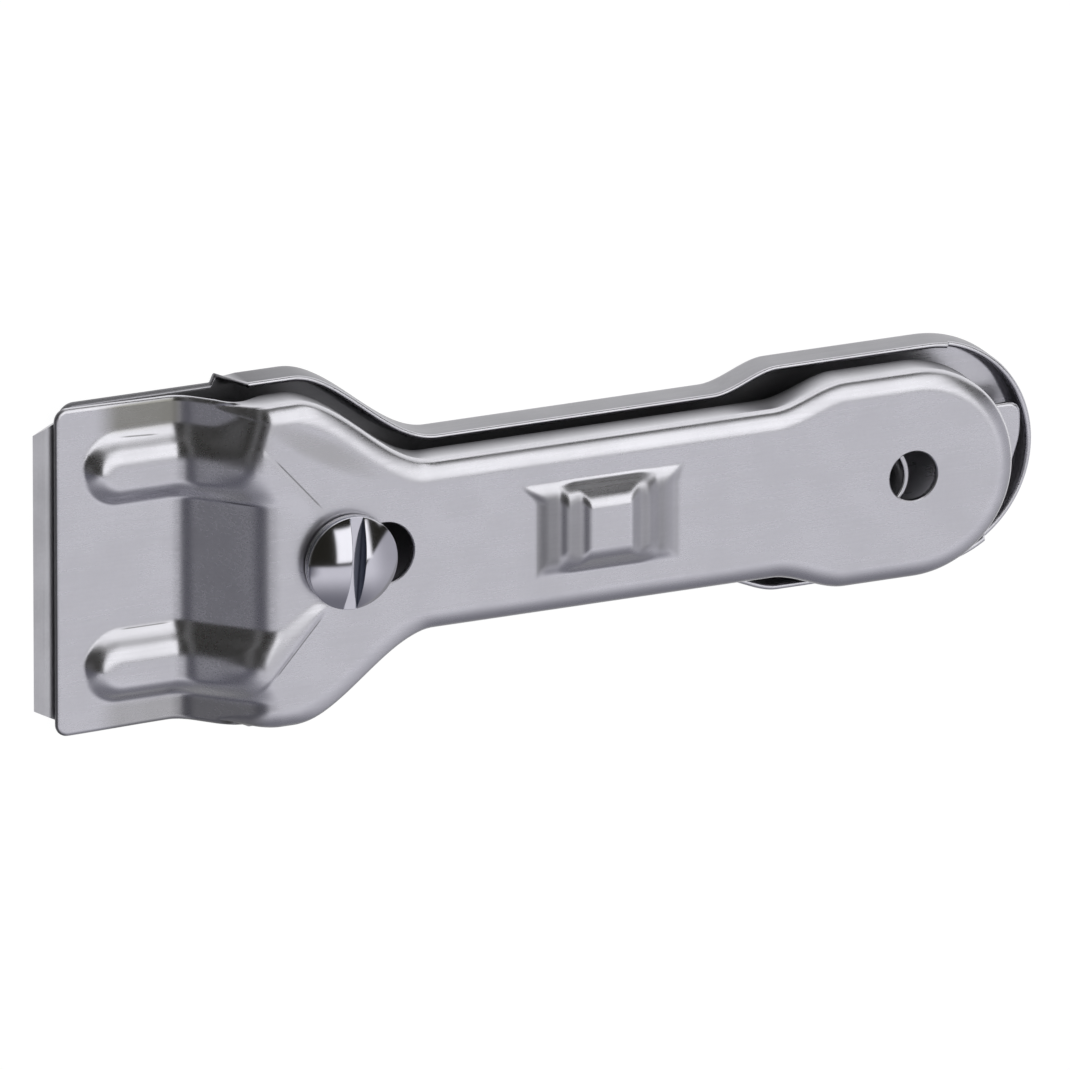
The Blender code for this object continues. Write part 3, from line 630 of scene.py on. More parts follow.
def cover_points():
    """Points of the cover on a grid of stations by rows.

    The rows run from the middle line over the face, down a wide shoulder and a tight corner, along the
    wall, round its rim, up the inside and back under the face. Where a station has no wall yet, the same
    rows run round a plain rolled edge, and between the two they are mixed by the wall's share.
    """
    stations = cover_stations().T[:, :, None]
    x, y, normal_x, _, spine = stations
    profile = cover_height(x, y, 0.0)
    wall = np.clip((profile - COVER_EDGE_Z) / COVER_WALL, 0.0, 1.0)
    on_tongue = (np.abs(y) < TONGUE_HALF) & (x > END_CENTRE_X)
    rim = np.where(on_tongue, TONGUE_Z + SHEET / 2, COVER_EDGE_Z)

    slant = step(normal_x / SLANT_NORMAL) * (x < END_CENTRE_X)
    shoulder_turn = SHOULDER_TURN + slant * (SLANT_TURN - SHOULDER_TURN)
    shoulder_round = SHOULDER_ROUND + slant * (SLANT_ROUND - SHOULDER_ROUND)
    bend = shoulder_round * np.sin(shoulder_turn) + CORNER_ROUND * (1.0 - np.sin(shoulder_turn))

    in_x, in_y = inward(stations, FLAT_INSET + wall * (bend - FLAT_INSET))
    share = np.linspace(0.0, 1.0, FACE_ROWS)
    face_x, face_y = spine + share * (in_x - spine), share * in_y
    under = np.linspace(1.0, 0.0, UNDER_ROWS)
    under_x, under_y = spine + under * (in_x - spine), under * in_y

    first = np.linspace(0.0, 1.0, SHOULDER_ROWS, endpoint=False)[1:] * shoulder_turn
    last = shoulder_turn + np.linspace(0.0, 1.0, CORNER_ROWS) * (math.pi / 2 - shoulder_turn)
    turn = side_by_side(first, last)
    wide = np.minimum(turn, shoulder_turn)
    bend_reach = bend - shoulder_round * np.sin(wide) - CORNER_ROUND * (np.sin(turn) - np.sin(wide))
    bend_drop = shoulder_round * (1.0 - np.cos(wide)) + CORNER_ROUND * (np.cos(wide) - np.cos(turn))
    inner_turn, inner_reach, inner_drop = (part[:, ::-3] for part in (turn, bend_reach, bend_drop))

    face_z = cover_height(in_x, in_y, 0.0)
    wall_rows = np.linspace(0.0, 1.0, WALL_ROWS)[1:-1]
    round_rim = np.linspace(0.0, math.pi, RIM_ROWS)
    wall_top = face_z - bend_drop[:, -1:]
    rim_middle = rim + SHEET / 2
    bent_reach = side_by_side(
        bend_reach,
        wall_rows * 0.0,
        SHEET / 2 * (1.0 - np.cos(round_rim)),
        wall_rows * 0.0 + SHEET,
        inner_reach + SHEET * np.sin(inner_turn),
    )
    bent_z = side_by_side(
        face_z - bend_drop,
        wall_top + wall_rows * (rim_middle - wall_top),
        rim_middle - SHEET / 2 * np.sin(round_rim),
        rim_middle + wall_rows * (wall_top - rim_middle),
        face_z - inner_drop - SHEET * np.cos(inner_turn),
    )
    rolled = len(wall_rows) * 2 + len(round_rim)
    counts = (turn.shape[1], rolled, inner_turn.shape[1])
    flat_reach, flat_drop = rolled_edge(counts, FLAT_INSET * ROLL_START)
    flat_z = cover_height(*inward(stations, flat_reach), 0.0) - flat_drop

    edge_x, edge_y = inward(stations, flat_reach + wall * (bent_reach - flat_reach))
    edge_z = flat_z + wall * (bent_z - flat_z)
    all_x = side_by_side(face_x, edge_x, under_x)
    all_y = side_by_side(face_y, edge_y, under_y)
    all_z = side_by_side(cover_height(face_x, face_y, 0.0), edge_z, cover_height(under_x, under_y, SHEET))
    # Painted shade and dull sheared metal: the front edge is sheared, with painted shadow of the gap under
    # it; the wall darkens towards its rim as painted shade, and the inside and underside are painted fully
    # dark as shade
    on_front = step(-normal_x / FRONT_NORMAL) * (1.0 - wall)
    dark_edge = PLATE_EDGE_DULL_AND_SHADE * on_front * (flat_drop > SHEET * SHEARED_FROM)
    row = np.arange(dark_edge.shape[1]) - turn.shape[1]
    down = wall * np.clip((row + WALL_SHADE_LEAD) / (len(wall_rows) + 1), 0.0, 1.0)
    inside = np.where(row >= rolled, 1.0, down)
    dull_and_shade = side_by_side(grip_shade(face_x, face_y), np.maximum(dark_edge, inside), under_x * 0.0 + 1.0)
    return np.stack([all_x, all_y, all_z], axis=2), dull_and_shade


def tongue_piece():
    """The tongue: a thin slab with rolled edges and round corners, from the cover's end wall outwards."""
    root = END_CENTRE_X + math.sqrt((BULGE_HALF - SHEET / 2) ** 2 - TONGUE_HALF**2)
    tip = TONGUE_END_X + TONGUE_EXTRA
    corners = [
        (tip - TONGUE_SLANT[0], TONGUE_SLANT[1]),
        (tip, TONGUE_STRAIGHT),
        (tip, TONGUE_HALF),
        (root, TONGUE_HALF),
        (root, -TONGUE_HALF),
    ]
    plan = eased(corners, np.array(TONGUE_EASES)[:, None] * TONGUE_CORNER, closed=True)
    inset, drop = rolled_edge(TONGUE_ROWS, TONGUE_CORNER)
    middle = np.array([(root + tip) / 2, 0.0])
    half = np.array([(tip - root) / 2, TONGUE_HALF])
    scale = 1.0 - inset[:, None] * TONGUE_INSET / half
    scale = np.concatenate([[[0.0, 0.0]], scale, [[0.0, 0.0]]])
    drop = np.concatenate([[0.0], drop, [SHEET]])
    flat = middle + (plan - middle)[:, None] * scale
    height = np.broadcast_to(TONGUE_Z + SHEET - drop, flat.shape[:2])
    points = np.concatenate([flat, height[:, :, None]], axis=2)[::-1]
    return piece_from("tongue", points, grid_faces(*points.shape[:2], True, False))


def sliding_cover():
    """The cover: its shell with the tongue joined on and the slot and the hanging hole cut out."""
    points, dull_and_shade = cover_points()
    cover = piece_from("cover_shell", points, grid_faces(*points.shape[:2], True, False), dull_and_shade)
    combine(cover, tongue_piece(), "UNION")
    slot = hole_tool(SLOT_HALF, FACE_Z, DRILL_DEPTH, HOLE_LIP, SCREW_X, length=SLOT_TRAVEL)
    combine(cover, slot, "DIFFERENCE")
    hole = hole_tool(HANG_RADIUS, FACE_Z, DRILL_DEPTH, HOLE_LIP, HANG_X)
    combine(cover, hole, "DIFFERENCE")
    return cover


def floor_shade(x):
    """Painted shade on the rear shell's floor inside: as on its walls, but bright at the hanging end, where
    light reaches it.
    """
    return REAR_INNER_SHADE * step((END_CENTRE_X + FLOOR_BRIGHT_FROM - x) / FLOOR_BRIGHT_RUN)


def rear_points():
    """Points of the rear shell on a grid of stations by rows.

    The rows run from the middle line over the floor, up the inside of the wall, round the rim, down the
    outside and back under the floor. The front plate has no wall, and there they run round a rolled edge.
    """
    shoulder_x, shoulder_run = REAR_TURNS[1]
    flare_x, flare_run = REAR_TURNS[2]
    places = spaced(
        REAR_FRONT + REAR_CORNER,
        [
            (REAR_WALL_X - 1.5 * REAR_STEP_RUN, 1.0 * MM),
            (REAR_WALL_X + REAR_WALL_RUN, 0.12 * MM),
            (shoulder_x, 0.8 * MM),
            (shoulder_x + shoulder_run, 0.5 * MM),
            (flare_x, 1.5 * MM),
            (flare_x + flare_run, 0.4 * MM),
            (REAR_END_CENTRE_X, 0.9 * MM),
        ],
    )
    shade_marks = [
        np.linspace(mark - REAR_NOTCH_EASE, mark + REAR_NOTCH_EASE, NOTCH_STEPS)
        for mark in (REAR_NOTCH_LEFT, REAR_NOTCH_RIGHT)
    ]
    even = np.linspace(0.0, math.pi / 2, REAR_END_STEPS)[:-1]
    ends = np.unique(np.concatenate([even, *shade_marks]))[::-1]
    front = (REAR_FRONT, REAR_CORNER, places, shoulder_x)
    stations = loop_stations(*front, REAR_WIDTHS, REAR_TURNS, REAR_END_CENTRE_X, 1.0 * MM, ends)
    stations = stations.T[:, :, None]
    x, y, _, _, spine = stations
    wall = np.clip((x - REAR_WALL_X) / REAR_WALL_RUN, 0.0, 1.0)
    bearing = np.arctan2(y, x - REAR_END_CENTRE_X)
    notch = step((REAR_NOTCH_LEFT - bearing) / REAR_NOTCH_EASE + 0.5)
    notch = notch * step((bearing + REAR_NOTCH_RIGHT) / REAR_NOTCH_EASE + 0.5)
    rim = REAR_DEPTH - REAR_NOTCH_DEPTH * notch - SHEET / 2

    share = np.linspace(0.0, 1.0, FLOOR_ROWS)
    in_x, in_y = inward(stations, REAR_BEND)
    face_x, face_y = spine + share * (in_x - spine), share * in_y

    turn = np.linspace(0.0, math.pi / 2, BEND_ROWS)
    rows = np.linspace(0.0, 1.0, WALL_ROWS)[1:-1]
    round_rim = np.linspace(0.0, math.pi, REAR_RIM_ROWS)
    small = REAR_BEND - SHEET
    bent_reach = np.concatenate(
        [
            REAR_BEND - small * np.sin(turn),
            rows * 0.0 + SHEET,
            SHEET / 2 * (1.0 + np.cos(round_rim)),
            rows * 0.0,
            REAR_BEND * (1.0 - np.cos(turn)),
        ]
    )
    bent_z = side_by_side(
        REAR_BEND - small * np.cos(turn),
        REAR_BEND + rows * (rim - REAR_BEND),
        rim + SHEET / 2 * np.sin(round_rim),
        rim + rows * (REAR_BEND - rim),
        REAR_BEND * (1.0 - np.sin(turn)),
    )
    counts = (len(turn), len(rows) * 2 + len(round_rim), len(turn))
    flat_reach, flat_drop = rolled_edge(counts, REAR_BEND * ROLL_START)
    edge_x, edge_y = inward(stations, flat_reach + wall * (bent_reach - flat_reach))
    flat_z = SHEET - flat_drop
    edge_z = flat_z + wall * (bent_z - flat_z)
    all_x = side_by_side(face_x, edge_x, face_x[:, ::-1])
    all_y = side_by_side(face_y, edge_y, face_y[:, ::-1])
    all_z = side_by_side(face_x * 0.0 + SHEET, edge_z, face_x * 0.0)
    # Sheared edges of the front plate are dark and dull; the inner walls and floor take painted shade, and
    # the outer walls take painted shade that is stronger at the head
    depth = flat_drop / SHEET
    on_edge = (depth > REAR_SHEARED_FROM) & (depth < 1.0 - REAR_SHEARED_FROM)
    dark_edge = REAR_EDGE_DULL * (1.0 - wall) * on_edge
    row = np.arange(dark_edge.shape[1])
    inner = wall * ((row >= len(turn)) & (row < len(turn) + len(rows)))
    outside = row >= len(turn) + len(rows) + len(round_rim) - 2
    outer = outside * np.clip((row[-1] - row) / (len(turn) - 1), 0.0, 1.0)
    head_shade = REAR_OUTER_SHADE + REAR_HEAD_SHADE * step((shoulder_x + shoulder_run / 2 - x) / shoulder_run)
    dull_and_shade = np.maximum(dark_edge, np.maximum(REAR_INNER_SHADE * inner, wall * head_shade * outer))
    dull_and_shade = np.where(row < len(turn), floor_shade(edge_x), dull_and_shade)
    dull_and_shade = side_by_side(floor_shade(face_x), dull_and_shade, face_x * 0.0)
    return np.stack([all_x, all_y, all_z], axis=2), dull_and_shade


def rear_shell():
    """The rear shell: its tray, drilled for the post, the studs and the eyelet."""
    points, dull_and_shade = rear_points()
    shell = piece_from("rear_tray", points, grid_faces(*points.shape[:2], True, False), dull_and_shade)
    drills = (
        (POST_HOLE, SCREW_X, 0.0),
        (STUD_HOLE, STUD_X, RIB_Y),
        (STUD_HOLE, STUD_X, -RIB_Y),
        (EYELET_HOLE, EYELET_X, 0.0),
    )
    for radius, place_x, place_y in drills:
        combine(shell, hole_tool(radius, 0.0, -DRILL_DEPTH, EASE, place_x, place_y), "DIFFERENCE")
    return shell


def scraper_blade():
    """The blade: one section with its ground edge, carried across a width that narrows in front."""
    low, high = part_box("scraper_blade")
    front, back = low.x - FRONT_EDGE, high.x - FRONT_EDGE
    along = np.concatenate(
        [
            np.linspace(back, front + BLADE_CORNER_RUN, BLADE_ROWS[0]),
            np.linspace(front + BLADE_CORNER_RUN, front + BLADE_GRIND, BLADE_ROWS[1])[1:],
            np.linspace(front + BLADE_GRIND, front, BLADE_ROWS[2])[1:],
        ]
    )
    thick = high.z - low.z
    top = low.z + np.minimum(thick, BLADE_EDGE + (thick - BLADE_EDGE) * (along - front) / BLADE_GRIND)
    x = np.concatenate([along, along[::-1]])
    z = np.concatenate([top, along * 0.0 + low.z])
    spread = (high.y - BLADE_EDGE_HALF) / BLADE_CORNER_RUN
    half = np.minimum(high.y, BLADE_EDGE_HALF + spread * (x - front))
    across = np.linspace(-1.0, 1.0, BLADE_LINES)[:, None]
    points = np.stack([x + across * 0.0, across * half, z + across * 0.0], axis=2)
    count = len(x)
    faces = grid_faces(*points.shape[:2], False, True)
    first = np.arange(len(along) - 1)
    near = np.stack([first, first + 1, count - 2 - first, count - 1 - first], axis=1)
    far = near[:, ::-1] + count * (len(across) - 1)
    blade = piece_from("blade", points, np.concatenate([faces, near, far]))
    for side in (1.0, -1.0):
        drill = hole_tool(BLADE_HOLE, high.z, 2.0 * SHEET, EASE / 2, STUD_X, side * RIB_Y)
        combine(blade, drill, "DIFFERENCE")
    return blade


def blade_stud(node, name):
    """A stud: spigot in the floor, round body and chamfered top."""
    low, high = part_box(node)
    radius = (high.y - low.y) / 2
    foot = SHEET + SEAT_GAP
    corners = [
        (0.0, low.z),
        (STUD_SPIGOT, low.z),
        (STUD_SPIGOT, foot),
        (radius, foot),
        (radius, high.z - STUD_CHAMFER),
        (radius - STUD_CHAMFER, high.z),
        (0.0, high.z),
    ]
    middle = (low + high) / 2
    return turned(name, eased(corners, EASE), middle.x - FRONT_EDGE, middle.y)


def threaded_post():
    """The post: spigot in the floor, shoulder under the cover, pilot in its slot and a threaded bore."""
    low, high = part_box("threaded_post")
    foot = SHEET + SEAT_GAP
    shoulder = FACE_Z - SHEET - SEAT_GAP
    bore = eased(
        [
            (POST_SPIGOT, low.z),
            (POST_SPIGOT, foot),
            (POST_RADIUS, foot),
            (POST_RADIUS, shoulder),
            (POST_PILOT, shoulder),
            (POST_PILOT, high.z),
            (POST_BORE, high.z),
        ],
        EASE,
    )
    floor = foot + POST_FLOOR
    ridges = np.arange(high.z - EASE, floor + THREAD_PITCH, -THREAD_PITCH / 2)
    radii = POST_BORE + THREAD_DEPTH * (np.arange(len(ridges)) % 2) * POST_THREAD_SHARE
    thread = np.stack([radii, ridges], axis=1)
    profile = np.concatenate([[(0.0, low.z)], bore, thread, [(POST_BORE, floor), (0.0, floor)]])
    return turned("post_with_thread", profile, SCREW_X)


def hang_eyelet():
    """The eyelet: a tube with a foot on the floor and a rolled upper rim."""
    low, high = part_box("hang_eyelet")
    foot_radius = high.y
    foot = SHEET + SEAT_GAP
    bore = EYELET_RADIUS - EYELET_WALL
    corners = [
        (bore, low.z),
        (EYELET_RADIUS, low.z),
        (EYELET_RADIUS, foot),
        (foot_radius, foot),
        (foot_radius, foot + EYELET_FOOT_HEIGHT),
        (EYELET_RADIUS, foot + EYELET_FOOT_HEIGHT),
        (EYELET_RADIUS, high.z),
        (bore, high.z),
    ]
    reach = np.array(EYELET_EASES)[:, None] * EASE
    return turned("eyelet_tube", eased(corners, reach, closed=True), EYELET_X, loop_rows=True)


def screw_washer():
    """The washer: a flat ring with eased edges."""
    low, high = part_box("screw_washer")
    corners = [
        (WASHER_BORE, low.z),
        (WASHER_RADIUS, low.z),
        (WASHER_RADIUS, high.z),
        (WASHER_BORE, high.z),
    ]
    return turned("washer_ring", eased(corners, EASE, closed=True), SCREW_X, loop_rows=True)


def clamp_screw():
    """The screw: a domed head with a straight slot, and a shank with the crests of its thread.

    The top is a grid of lines that run along the slot, its height the dome, rounded off along the slot's
    edges, or the slot's floor. The rim, underside and shank are a profile carried round the angles at which
    those lines meet the rim.
    """
    ball = (HEAD_RADIUS**2 + HEAD_DOME**2) / (2.0 * HEAD_DOME)
    rim_z = HEAD_Z + HEAD_RIM
    crown = rim_z + HEAD_DOME
    top_radius = HEAD_RADIUS - HEAD_EASE
    half = DRIVE_WIDTH / 2
    lip = half + DRIVE_LIP

    def dome(radius):
        """Height of the ball that the head is cut from."""
        return crown - ball + np.sqrt(ball**2 - radius**2)

    outside = top_radius * np.sin(np.linspace(math.asin(lip / top_radius), math.pi / 2, DOME_LINES))
    right = np.concatenate([np.linspace(half, lip, LIP_LINES)[:-1], outside])
    floor = np.linspace(-half, half, SLOT_LINES)
    line = np.concatenate([-right[::-1], floor, right])
    in_slot = np.concatenate([right < 0.0, floor > -1.0, right < 0.0])
    along = np.sqrt(np.maximum(top_radius**2 - line**2, 0.0))
    share = np.sin(np.linspace(-math.pi / 2, math.pi / 2, LINE_POINTS))
    slot_x = line[:, None] + share * 0.0
    slot_y = along[:, None] * share
    edge = np.clip((lip - np.abs(line)) / DRIVE_LIP, 0.0, 1.0)[:, None]
    height = dome(np.hypot(slot_x, slot_y)) - DRIVE_LIP * (1.0 - np.sqrt(1.0 - edge**2))
    height = np.where(in_slot[:, None], rim_z, np.maximum(height, rim_z))
    top = np.stack([slot_x, slot_y, height], axis=2)

    shank_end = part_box("clamp_screw")[0].z
    crests = np.arange(HEAD_Z - 2.0 * THREAD_PITCH, shank_end + THREAD_PITCH, -THREAD_PITCH / 2)
    thread = SHANK_RADIUS - THREAD_DEPTH * (np.arange(len(crests)) % 2)
    edge_z = float(dome(np.array(top_radius)))
    corners = [(top_radius, edge_z), (HEAD_RADIUS, rim_z), (HEAD_RADIUS, HEAD_Z), (SHANK_RADIUS, HEAD_Z)]
    rim = eased(corners, EASE)
    tip = [(SHANK_RADIUS - THREAD_DEPTH, shank_end), (0.0, shank_end)]
    radius, side_z = np.concatenate([rim, np.stack([thread, crests], axis=1), tip]).T
    half_turn = np.stack([line, along], axis=1) / top_radius
    around = np.concatenate([half_turn, -half_turn[1:-1]])
    notched = np.concatenate([in_slot, in_slot[1:-1]])[:, None]
    side_z = np.where(notched, np.minimum(side_z, rim_z), side_z)
    side = np.stack([around[:, :1] * radius, around[:, 1:] * radius, side_z], axis=2)

    points = np.concatenate([top.reshape(-1, 3), side.reshape(-1, 3)])
    cos, sin = math.cos(DRIVE_TURN), math.sin(DRIVE_TURN)
    points = points @ np.array([[cos, sin, 0.0], [-sin, cos, 0.0], [0.0, 0.0, 1.0]])
    points = points + np.array([SCREW_X, 0.0, 0.0])
    faces = [
        grid_faces(*top.shape[:2], False, False),
        grid_faces(*side.shape[:2], True, False, first=top.size // 3),
    ]
    # Painted shade: the slot's walls take the dark blue of the slot and the rim's side a share of it
    slot_wall = (np.abs(np.abs(line) - half) < WELD)[:, None] + 0.0 * share
    rim_wall = (radius > HEAD_RADIUS - WELD) + 0.0 * around[:, :1]
    dull_and_shade = np.concatenate([slot_wall.ravel(), RIM_SHADE * rim_wall.ravel()])
    return piece_from("screw_with_slot", points, np.concatenate(faces), dull_and_shade)


class Signal:
    """A socket of a node tree. Arithmetic between signals and numbers adds Math nodes."""

    def __init__(self, tree, socket=None):
        self.tree = tree
        self.socket = socket

    def node(self, kind, settings=None, inputs=None, output=0):
        """Adds a node of that kind, makes its settings first and then sets or links its inputs."""
        made = self.tree.nodes.new(kind)
        for name, value in (settings or {}).items():
            setattr(made, name, value)
        for name, value in (inputs or {}).items():
            if isinstance(value, Signal):
                self.tree.links.new(value.socket, made.inputs[name])
            else:
                made.inputs[name].default_value = value
        return Signal(self.tree, made.outputs[output] if made.outputs else None)

    def math(self, operation, *terms):
        """The result of a Math node."""
        return self.node("ShaderNodeMath", {"operation": operation}, dict(enumerate(terms)))

    def __add__(self, other):
        return self.math("ADD", self, other)

    __radd__ = __add__

    def __sub__(self, other):
        return self.math("SUBTRACT", self, other)

    def __rsub__(self, other):
        return self.math("SUBTRACT", other, self)

    def __mul__(self, other):
        return self.math("MULTIPLY", self, other)

    __rmul__ = __mul__

    def __truediv__(self, other):
        return self.math("DIVIDE", self, other)

    def smooth(self, low, high):
        """A smooth step of this value: 0 at low and 1 at high, where low may be the larger."""
        limits = {"Value": self, "From Min": low, "From Max": high}
        return self.node("ShaderNodeMapRange", {"interpolation_type": "SMOOTHSTEP"}, limits)

    def mix(self, one, other):
        """The colour one where this value is 0 and the other where it is 1."""
        return self.node("ShaderNodeMix", {"data_type": "RGBA"}, {0: self, 6: one, 7: other}, 2)

    def split(self):
        """The three numbers of a vector."""
        parts = self.tree.nodes.new("ShaderNodeSeparateXYZ")
        self.tree.links.new(self.socket, parts.inputs[0])
        return [Signal(self.tree, part) for part in parts.outputs]

    def stretched(self, scale):
        """This vector times a scale for each axis."""
        return self.node("ShaderNodeVectorMath", {"operation": "MULTIPLY"}, {0: self, 1: scale})

    def noise(self, detail):
        """Fractal noise with features about one unit apart in this vector."""
        return self.node("ShaderNodeTexNoise", None, {"Vector": self, "Scale": 1.0, "Detail": detail})


def grey(value, lilac=0.0):
    """A grey with a touch of lilac or, below zero, of brown."""
    return (value, value * (1.0 - GREEN_LOSS * abs(lilac)), value * (1.0 + lilac), 1.0)


# Patterns in the metal: features a metre, and how much each of them counts
CLOUD_SCALE = 160.0
SPECK_SCALE = 2200.0
CLOUD_SHADE = 0.6
STREAK_SHADE = 0.25
SPECK_SHADE = 0.15
STAIN_EDGES = (0.3, 0.7)
DULL_AND_SHADE_COVER = 0.9
DULL_ROUGHNESS = 0.25
STREAK_RELIEF = 0.6
SPECK_RELIEF = 0.4
RELIEF_HEIGHT = 0.02 * MM
# Dark colour of dull metal and of painted shade
DULL_AND_SHADE_COLOUR = grey(0.10, 0.06)
# Dark blue painted shade in the screw's slot and on its rim
SLOT_SHADE_COLOUR = (0.09, 0.115, 0.17, 1.0)
# Brown of painted shade in strips by the plate's edges and a spot at a bend
SHADE_BROWN = grey(0.30, -0.10)
# Painted shade along the creases
CREASE_SHADE_COLOUR = grey(0.16)

# Fine lines of painted shade along the cover's creases, from one end to the other
CREASES = (
    ((25.6 * MM, 14.6 * MM), (32.4 * MM, 6.9 * MM)),
    ((25.6 * MM, -14.6 * MM), (32.4 * MM, -6.9 * MM)),
    ((8.4 * MM, 17.0 * MM), (14.2 * MM, 16.7 * MM)),
    ((8.3 * MM, -8.4 * MM), (15.8 * MM, -8.4 * MM)),
    ((20.0 * MM, 8.2 * MM), (24.5 * MM, 8.1 * MM)),
)
CREASE_WIDTH = 0.13 * MM
CREASE_CORE = 0.3
CREASE_FADE = 1.6 * MM
CREASE_SHARE = 0.75

# Painted shade on the cover, brown strips and a spot: places where a mark begins and where it is full
MARK_Z = (1.4 * MM, 2.0 * MM)
STRIP_FRONT_X = (5.0 * MM, 9.0 * MM)
UPPER_INNER_Y = (17.0 * MM, 18.4 * MM)
UPPER_OUTER_Y = (21.3 * MM, 20.9 * MM)
UPPER_BACK_X = (17.5 * MM, 16.0 * MM)
LOWER_INNER_Y = (-17.2 * MM, -18.8 * MM)
LOWER_BACK_X = (25.5 * MM, 23.5 * MM)
UPPER_SHARE = 0.95
LOWER_SHARE = 0.45
SPOT = (32.5 * MM, 14.6 * MM)
SPOT_LENGTH = (5.0 * MM, 7.5 * MM)
SPOT_WIDTH = (4.4 * MM, 2.1 * MM)
SPOT_FADE = (1.3, 0.1)
SPOT_Z = (FACE_Z - 1.2 * MM, FACE_Z - 0.4 * MM)
SPOT_SHARE = 0.34


def metal(name, base, stain, roughness, spread, grain, bump, shade_marks=None, dull_and_shade_colour=DULL_AND_SHADE_COLOUR):
    """A bare metal: streaks of the grain change its roughness and height, and wide clouds stain its colour.

    Marks of painted shade, if there are any, take the place and the colour and give the colour with them on
    it; the points' values of dullness and painted shade mix in a dark colour.
    """
    material = bpy.data.materials.new(name)
    material.use_nodes = True
    tree = material.node_tree
    shader = tree.nodes["Principled BSDF"]
    place = Signal(tree).node("ShaderNodeTexCoord", output="Object")
    streaks = place.stretched(grain).noise(3.0)
    clouds = place.stretched((CLOUD_SCALE,) * 3).noise(4.0)
    specks = place.stretched((SPECK_SCALE,) * 3).noise(1.0)
    dull_and_shade = place.node("ShaderNodeAttribute", {"attribute_name": "dull_and_shade"}, output="Fac")
    shade = clouds * CLOUD_SHADE + streaks * STREAK_SHADE + specks * SPECK_SHADE
    colour = shade.smooth(*STAIN_EDGES).mix(base, stain)
    if shade_marks:
        colour = shade_marks(place, colour, clouds)
    # Dullness and painted shade: the points' values darken the colour
    colour = (dull_and_shade * DULL_AND_SHADE_COVER).mix(colour, dull_and_shade_colour)
    rough = roughness + (streaks - 0.5) * spread + (clouds - 0.5) * spread + dull_and_shade * DULL_ROUGHNESS
    height = streaks * STREAK_RELIEF + specks * SPECK_RELIEF
    relief = {"Strength": bump, "Distance": RELIEF_HEIGHT, "Height": height}
    normal = place.node("ShaderNodeBump", None, relief)
    tree.links.new(colour.socket, shader.inputs["Base Color"])
    tree.links.new(rough.socket, shader.inputs["Roughness"])
    tree.links.new(normal.socket, shader.inputs["Normal"])
    shader.inputs["Metallic"].default_value = 1.0
    return material


def crease(x, y, start, end):
    """1 on a fine line between two points and 0 off it, fading in at both ends."""
    run_x, run_y = end[0] - start[0], end[1] - start[1]
    length = math.hypot(run_x, run_y)
    from_x, from_y = x - start[0], y - start[1]
    along = from_x * (run_x / length) + from_y * (run_y / length)
    aside = from_x * (run_y / length) - from_y * (run_x / length)
    aside = aside.math("ABSOLUTE", aside)
    ends = along.smooth(0.0, CREASE_FADE) * along.smooth(length, length - CREASE_FADE)
    return aside.smooth(CREASE_WIDTH, CREASE_CORE * CREASE_WIDTH) * ends


def painted_shade_marks(place, colour, clouds):
    """Painted shade in brown: strips by the plate's edges and a spot at a bend, and dark lines along the
    creases.
    """
    x, y, z = place.split()
    x = x - FRONT_EDGE
    on_cover = z.smooth(*MARK_Z)
    upper = y.smooth(*UPPER_INNER_Y) * y.smooth(*UPPER_OUTER_Y) * x.smooth(*UPPER_BACK_X)
    lower = y.smooth(*LOWER_INNER_Y) * x.smooth(*LOWER_BACK_X)
    strips = (upper * UPPER_SHARE + lower * LOWER_SHARE) * x.smooth(*STRIP_FRONT_X)
    from_x, from_y = x - SPOT[0], y - SPOT[1]
    along = from_x / SPOT_LENGTH[0] + from_y / SPOT_LENGTH[1]
    aside = from_x / SPOT_WIDTH[0] + from_y / SPOT_WIDTH[1]
    spot = (along * along + aside * aside).smooth(*SPOT_FADE) * z.smooth(*SPOT_Z)
    shade_strips_and_spot = strips + spot * SPOT_SHARE
    colour = (shade_strips_and_spot * on_cover * (clouds * 0.5 + 0.75)).mix(colour, SHADE_BROWN)
    lines = crease(x, y, *CREASES[0])
    for start, end in CREASES[1:]:
        lines = lines.math("MAXIMUM", lines, crease(x, y, start, end))
    return (lines * on_cover * CREASE_SHARE).mix(colour, CREASE_SHADE_COLOUR)


def shell_steel():
    """Stamped stainless sheet with a fine satin along the handle."""
    base, stain = grey(0.69, 0.05), grey(0.63, 0.05)
    grain = (90.0, 2600.0, 2600.0)
    finish = {"roughness": 0.28, "spread": 0.10, "grain": grain, "bump": 0.03}
    return metal("satin_sheet", base, stain, **finish, shade_marks=painted_shade_marks)


def blade_steel():
    """Ground blade steel with lines along the edge."""
    base, stain = grey(0.62, 0.03), grey(0.52, 0.03)
    grain = (9000.0, 60.0, 3000.0)
    return metal("ground_blade", base, stain, roughness=0.32, spread=0.12, grain=grain, bump=0.25)


def fitting_steel():
    """Turned steel of the studs, post, eyelet and washer."""
    base, stain = grey(0.66, 0.04), grey(0.58, 0.04)
    grain = (700.0, 700.0, 4000.0)
    return metal("turned_fitting", base, stain, roughness=0.26, spread=0.10, grain=grain, bump=0.12)


def screw_chrome():
    """Polished plating with hardly any grain."""
    base, stain = grey(0.67, 0.07), grey(0.64, 0.07)
    grain = (400.0, 900.0, 900.0)
    finish = {"roughness": 0.11, "spread": 0.03, "grain": grain, "bump": 0.02}
    return metal("polished_plating", base, stain, **finish, dull_and_shade_colour=SLOT_SHADE_COLOUR)


